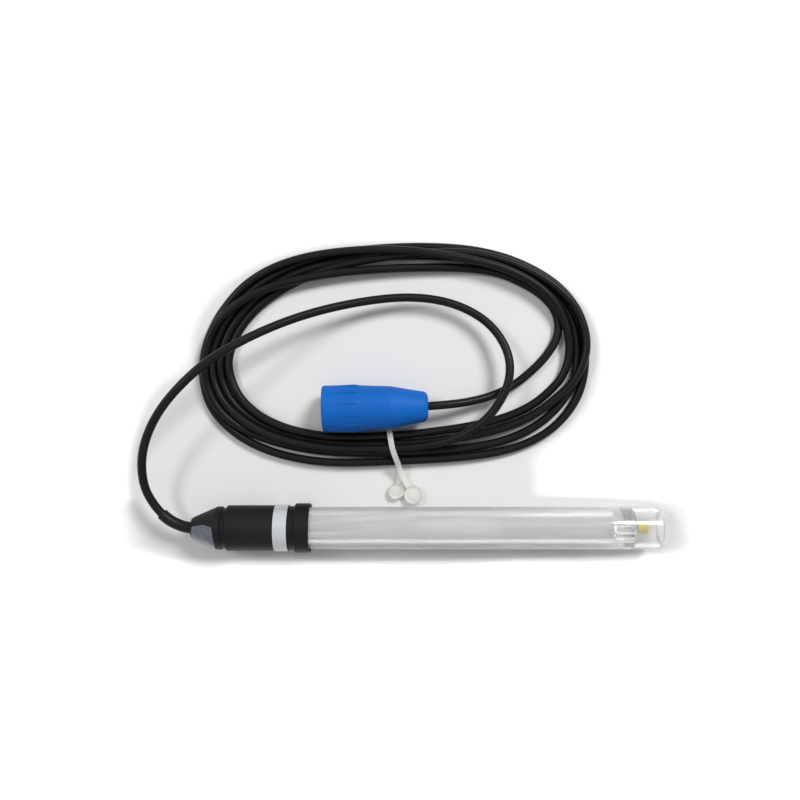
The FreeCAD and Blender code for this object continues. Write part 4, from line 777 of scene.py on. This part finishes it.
class REDOX_OT_shaft(bpy.types.Operator):
    """Finish the clear shaft and what is inside it"""
    bl_idname = "redox.shaft"
    bl_label = "Shaft"

    def execute(self, context):
        settings = context.scene.redox_electrode
        self.shaft(settings)
        clear = clear_material("Clear insert", TIP_TINT, 0.05)
        for node in ("rear_stopper", "sensor_stem"):
            finish_node(node, clear)
        finish_node("chamber_plug", resin_material(settings))
        gel = clear_material("Electrolyte gel", (0.9, 0.92, 0.9), 0.02, 1.36)
        finish_node("electrolyte_gel", gel)
        finish_node("junction_pin", plain_plastic("Porous ceramic", (0.85, 0.83, 0.78), 0.6))
        finish_node("chloride_element", plain_plastic("Chloride coating", (0.78, 0.78, 0.76), 0.6))
        finish_node("gold_cap", metal_material("Gold", settings.gold, 0.38, 0.4))
        silver = metal_material("Silver wire", (0.22, 0.215, 0.21), 0.4, 0.6)
        for node in ("signal_wire", "reference_wire", "signal_splice", "reference_splice"):
            finish_node(node, silver)
        finish_node("cable_core", plain_plastic("Cable insulation", (0.8, 0.8, 0.77), 0.35))
        finish_node("shield_pigtail", metal_material("Braid", (0.7, 0.5, 0.38), 0.4))
        return {"FINISHED"}

    def shaft(self, settings):
        """Clear rod, drilled from the rear and hollowed at its tip, milky as far as the wall
        in front of the chamber."""
        clear_selection()
        bpy.ops.mesh.primitive_cylinder_add(
            vertices=96, radius=SPIGOT_RADIUS, depth=SPIGOT_FRONT - SPIGOT_REAR,
            location=((SPIGOT_REAR + SPIGOT_FRONT) / 2, 0, AXIS_HEIGHT),
            rotation=(0, math.pi / 2, 0))
        shaft = bpy.context.active_object
        shaft.name = "clear_shaft"
        bpy.ops.object.transform_apply(location=True, rotation=True)
        select_faces(shaft, lambda face: face.normal.x > 0.9)
        draw_out([(SPIGOT_FRONT, SHAFT_RADIUS), (TIP - CLEAR_LENGTH, SHAFT_RADIUS),
                  (TIP - CHAMFER, SHAFT_RADIUS), (TIP, RIM_RADIUS), (TIP, RECESS_RADIUS),
                  (TIP - RECESS_DEPTH, RECESS_RADIUS)], (SPIGOT_FRONT, SPIGOT_RADIUS))
        select_faces(shaft, lambda face: face.normal.x < -0.9
                     and face.center.x < SPIGOT_REAR + 0.0001)
        draw_out([(SPIGOT_REAR, BORE_RADIUS), (TIP - BORE_END, BORE_RADIUS),
                  (TIP - DRILL_END, DRILL_POINT_RADIUS)], (SPIGOT_REAR, SPIGOT_RADIUS))
        bpy.ops.mesh.select_all(action="SELECT")
        bpy.ops.mesh.normals_make_consistent(inside=False)
        bpy.ops.object.mode_set(mode="OBJECT")
        add_modifier(shaft, "BEVEL", width=0.00012, segments=2, limit_method="ANGLE",
                     angle_limit=math.radians(50))
        for node in ("sensor_stem", "junction_pin"):
            self.drill(shaft, node)
        select_whole(shaft)
        bpy.ops.mesh.remove_doubles(threshold=0.000004)
        bpy.ops.mesh.dissolve_degenerate(threshold=0.000001)
        bpy.ops.mesh.normals_make_consistent(inside=False)
        # Drilling leaves the faces in another order each run
        bpy.context.scene.cursor.location = SORT_FROM
        bpy.ops.mesh.sort_elements(type="CURSOR_DISTANCE", elements={"VERT", "EDGE", "FACE"})
        bpy.ops.object.mode_set(mode="OBJECT")
        finish_piece(shaft, clear_material("Clear shaft", settings.shaft, 0.07, 1.49, 0.71),
                     "electrode", "shaft_tube")
        shaft.data.materials.append(clear_material("Clear tip", TIP_TINT, 0.2, 1.49, 0.92))
        for face in shaft.data.polygons:
            face.material_index = int(face.center.x > TIP - CLEAR_LENGTH)

    def drill(self, shaft, node):
        """Drills the wall between the chamber and the recess for a round piece that goes
        through it."""
        low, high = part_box(node)
        rear, front = low[0] - HOLE_OVERRUN, TIP - HOLE_STOP
        clear_selection()
        bpy.ops.mesh.primitive_cylinder_add(
            vertices=48, radius=(high[1] - low[1]) / 2 + PRESS_GAP, depth=front - rear,
            location=((rear + front) / 2, (low[1] + high[1]) / 2, (low[2] + high[2]) / 2),
            rotation=(0, math.pi / 2, 0))
        drill = bpy.context.active_object
        bpy.ops.object.transform_apply(location=True, rotation=True)
        add_modifier(shaft, "BOOLEAN", operation="DIFFERENCE", solver="EXACT", object=drill)
        bpy.data.objects.remove(drill)


class REDOX_OT_plug(bpy.types.Operator):
    """Finish the bayonet plug and its hood"""
    bl_idname = "redox.plug"
    bl_label = "Plug"

    def execute(self, context):
        settings = context.scene.redox_plug
        finish_node("coupling_hood", hood_material(settings))
        nickel = metal_material("Nickel plate", settings.nickel, 0.24)
        for node in ("plug_body", "bayonet_nut", "slip_ring", "snap_ring", "crimp_ferrule"):
            finish_node(node, nickel)
        self.washer(nickel)
        finish_node("centre_pin", metal_material("Gold plated pin", (0.80, 0.55, 0.22), 0.2))
        finish_node("plug_braid", metal_material("Tinned braid", (0.66, 0.6, 0.55), 0.45))
        white = plain_plastic("White insulator", (0.84, 0.84, 0.82), 0.4)
        for node in ("plug_insulator", "plug_core"):
            finish_node(node, white)
        finish_node("plug_gasket", plain_plastic("Gasket rubber", (0.22, 0.05, 0.04), 0.6))
        return {"FINISHED"}

    def washer(self, nickel):
        """Spring washer copied from the part's own node, with its doubled points merged."""
        washer = bpy.data.objects.new("bowed_washer", NODES["spring_washer"].data.copy())
        bpy.context.scene.collection.objects.link(washer)
        select_whole(washer)
        bpy.ops.mesh.remove_doubles(threshold=0.000002)
        bpy.ops.object.mode_set(mode="OBJECT")
        finish_piece(washer, nickel, "electrode", "spring_washer")
        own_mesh(washer)


class REDOX_OT_tie(bpy.types.Operator):
    """Finish the nylon tie round the coil"""
    bl_idname = "redox.tie"
    bl_label = "Tie"

    def execute(self, context):
        strap = self.strap()
        ends = [self.round_end(*values) for values in TIE_ENDS]
        clear_selection()
        for piece in (strap, *ends):
            piece.select_set(True)
        context.view_layer.objects.active = strap
        bpy.ops.object.join()
        strap.name = "nylon_tie"
        add_modifier(strap, "REMESH", mode="VOXEL", voxel_size=0.00011)
        add_modifier(strap, "CORRECTIVE_SMOOTH", factor=0.5, iterations=3, use_only_smooth=True)
        finish_piece(strap, tie_material(context.scene.redox_plug), "electrode", "cable_tie")
        return {"FINISHED"}

    def strap(self):
        """Flat strap, drawn out step by step along its path."""
        along = Vector((math.cos(TIE_TURN), math.sin(TIE_TURN), 0))
        aside = Vector((-along.y, along.x, 0))
        middle = Vector((*TIE_CENTRE, 0))
        places = [(middle + along * u + aside * w + Vector((0, 0, z))) * MM for u, w, z in TIE_PATH]
        clear_selection()
        bpy.ops.mesh.primitive_plane_add(size=1.0, location=(0, 0, 0))
        strap = bpy.context.active_object
        for vertex in strap.data.vertices:
            end = places[0] if vertex.co.x < 0 else places[1]
            side = aside * (TIE_WIDTH / 2 * MM)
            vertex.co = end + (side if vertex.co.y > 0 else -side)
        bpy.ops.object.mode_set(mode="EDIT")
        bpy.ops.mesh.select_mode(type="EDGE")
        bpy.ops.mesh.select_all(action="DESELECT")
        bpy.ops.object.mode_set(mode="OBJECT")
        for edge in strap.data.edges:
            edge.select = all((strap.data.vertices[i].co - places[1]).length < TIE_WIDTH * 0.6 * MM
                              for i in edge.vertices)
        bpy.ops.object.mode_set(mode="EDIT")
        for before, after in zip(places[1:], places[2:]):
            bpy.ops.mesh.extrude_region_move(TRANSFORM_OT_translate={"value": after - before})
        bpy.ops.mesh.select_all(action="SELECT")
        bpy.ops.mesh.normals_make_consistent(inside=False)
        bpy.ops.object.mode_set(mode="OBJECT")
        add_modifier(strap, "SUBSURF", levels=2, render_levels=2)
        add_modifier(strap, "SOLIDIFY", thickness=0.0008, offset=0.0)
        return strap

    def round_end(self, centre, radius, height):
        """Round end with a raised rim, like a rivet's head."""
        clear_selection()
        bpy.ops.mesh.primitive_cylinder_add(
            vertices=64, radius=radius * MM, depth=height * MM,
            location=(centre[0] * MM, centre[1] * MM, height / 2 * MM))
        end = bpy.context.active_object
        bpy.ops.object.transform_apply(location=True)
        select_faces(end, lambda face: face.normal.z > 0.9)
        bpy.ops.mesh.inset(thickness=radius * 0.24 * MM)
        bpy.ops.transform.translate(value=(0, 0, -0.45 * MM))
        bpy.ops.mesh.inset(thickness=radius * 0.3 * MM)
        bpy.ops.transform.translate(value=(0, 0, 0.2 * MM))
        bpy.ops.object.mode_set(mode="OBJECT")
        add_modifier(end, "BEVEL", width=0.00022, segments=3, limit_method="ANGLE",
                     angle_limit=math.radians(30))
        return end


class REDOX_PT_panel(bpy.types.Panel):
    """Steps that dress the electrode"""
    bl_idname = "REDOX_PT_panel"
    bl_label = "Redox electrode"
    bl_space_type = "VIEW_3D"
    bl_region_type = "UI"
    bl_category = "Electrode"

    def draw(self, context):
        for operator in OPERATORS:
            self.layout.operator(operator.bl_idname)
        for name, _ in SETTINGS:
            group = getattr(context.scene, name)
            box = self.layout.box()
            for key in group.bl_rna.properties.keys():
                if key not in ("rna_type", "name"):
                    box.prop(group, key)


OPERATORS = (REDOX_OT_stage, REDOX_OT_tie, REDOX_OT_plug, REDOX_OT_cable, REDOX_OT_head,
             REDOX_OT_shaft)
SETTINGS = (("redox_cable", CableSettings), ("redox_electrode", ElectrodeSettings),
            ("redox_plug", PlugSettings), ("redox_stage", StageSettings))


def register():
    for name, group in SETTINGS:
        bpy.utils.register_class(group)
        setattr(bpy.types.Scene, name, bpy.props.PointerProperty(type=group))
    for operator in OPERATORS:
        bpy.utils.register_class(operator)
    bpy.utils.register_class(REDOX_PT_panel)


def unregister():
    bpy.utils.unregister_class(REDOX_PT_panel)
    for operator in reversed(OPERATORS):
        bpy.utils.unregister_class(operator)
    for name, group in reversed(SETTINGS):
        delattr(bpy.types.Scene, name)
        bpy.utils.unregister_class(group)


def main():
    register()
    for operator in OPERATORS:
        step = operator.bl_idname.split(".")[1]
        getattr(bpy.ops.redox, step)()


if __name__ == "__main__":
    main()
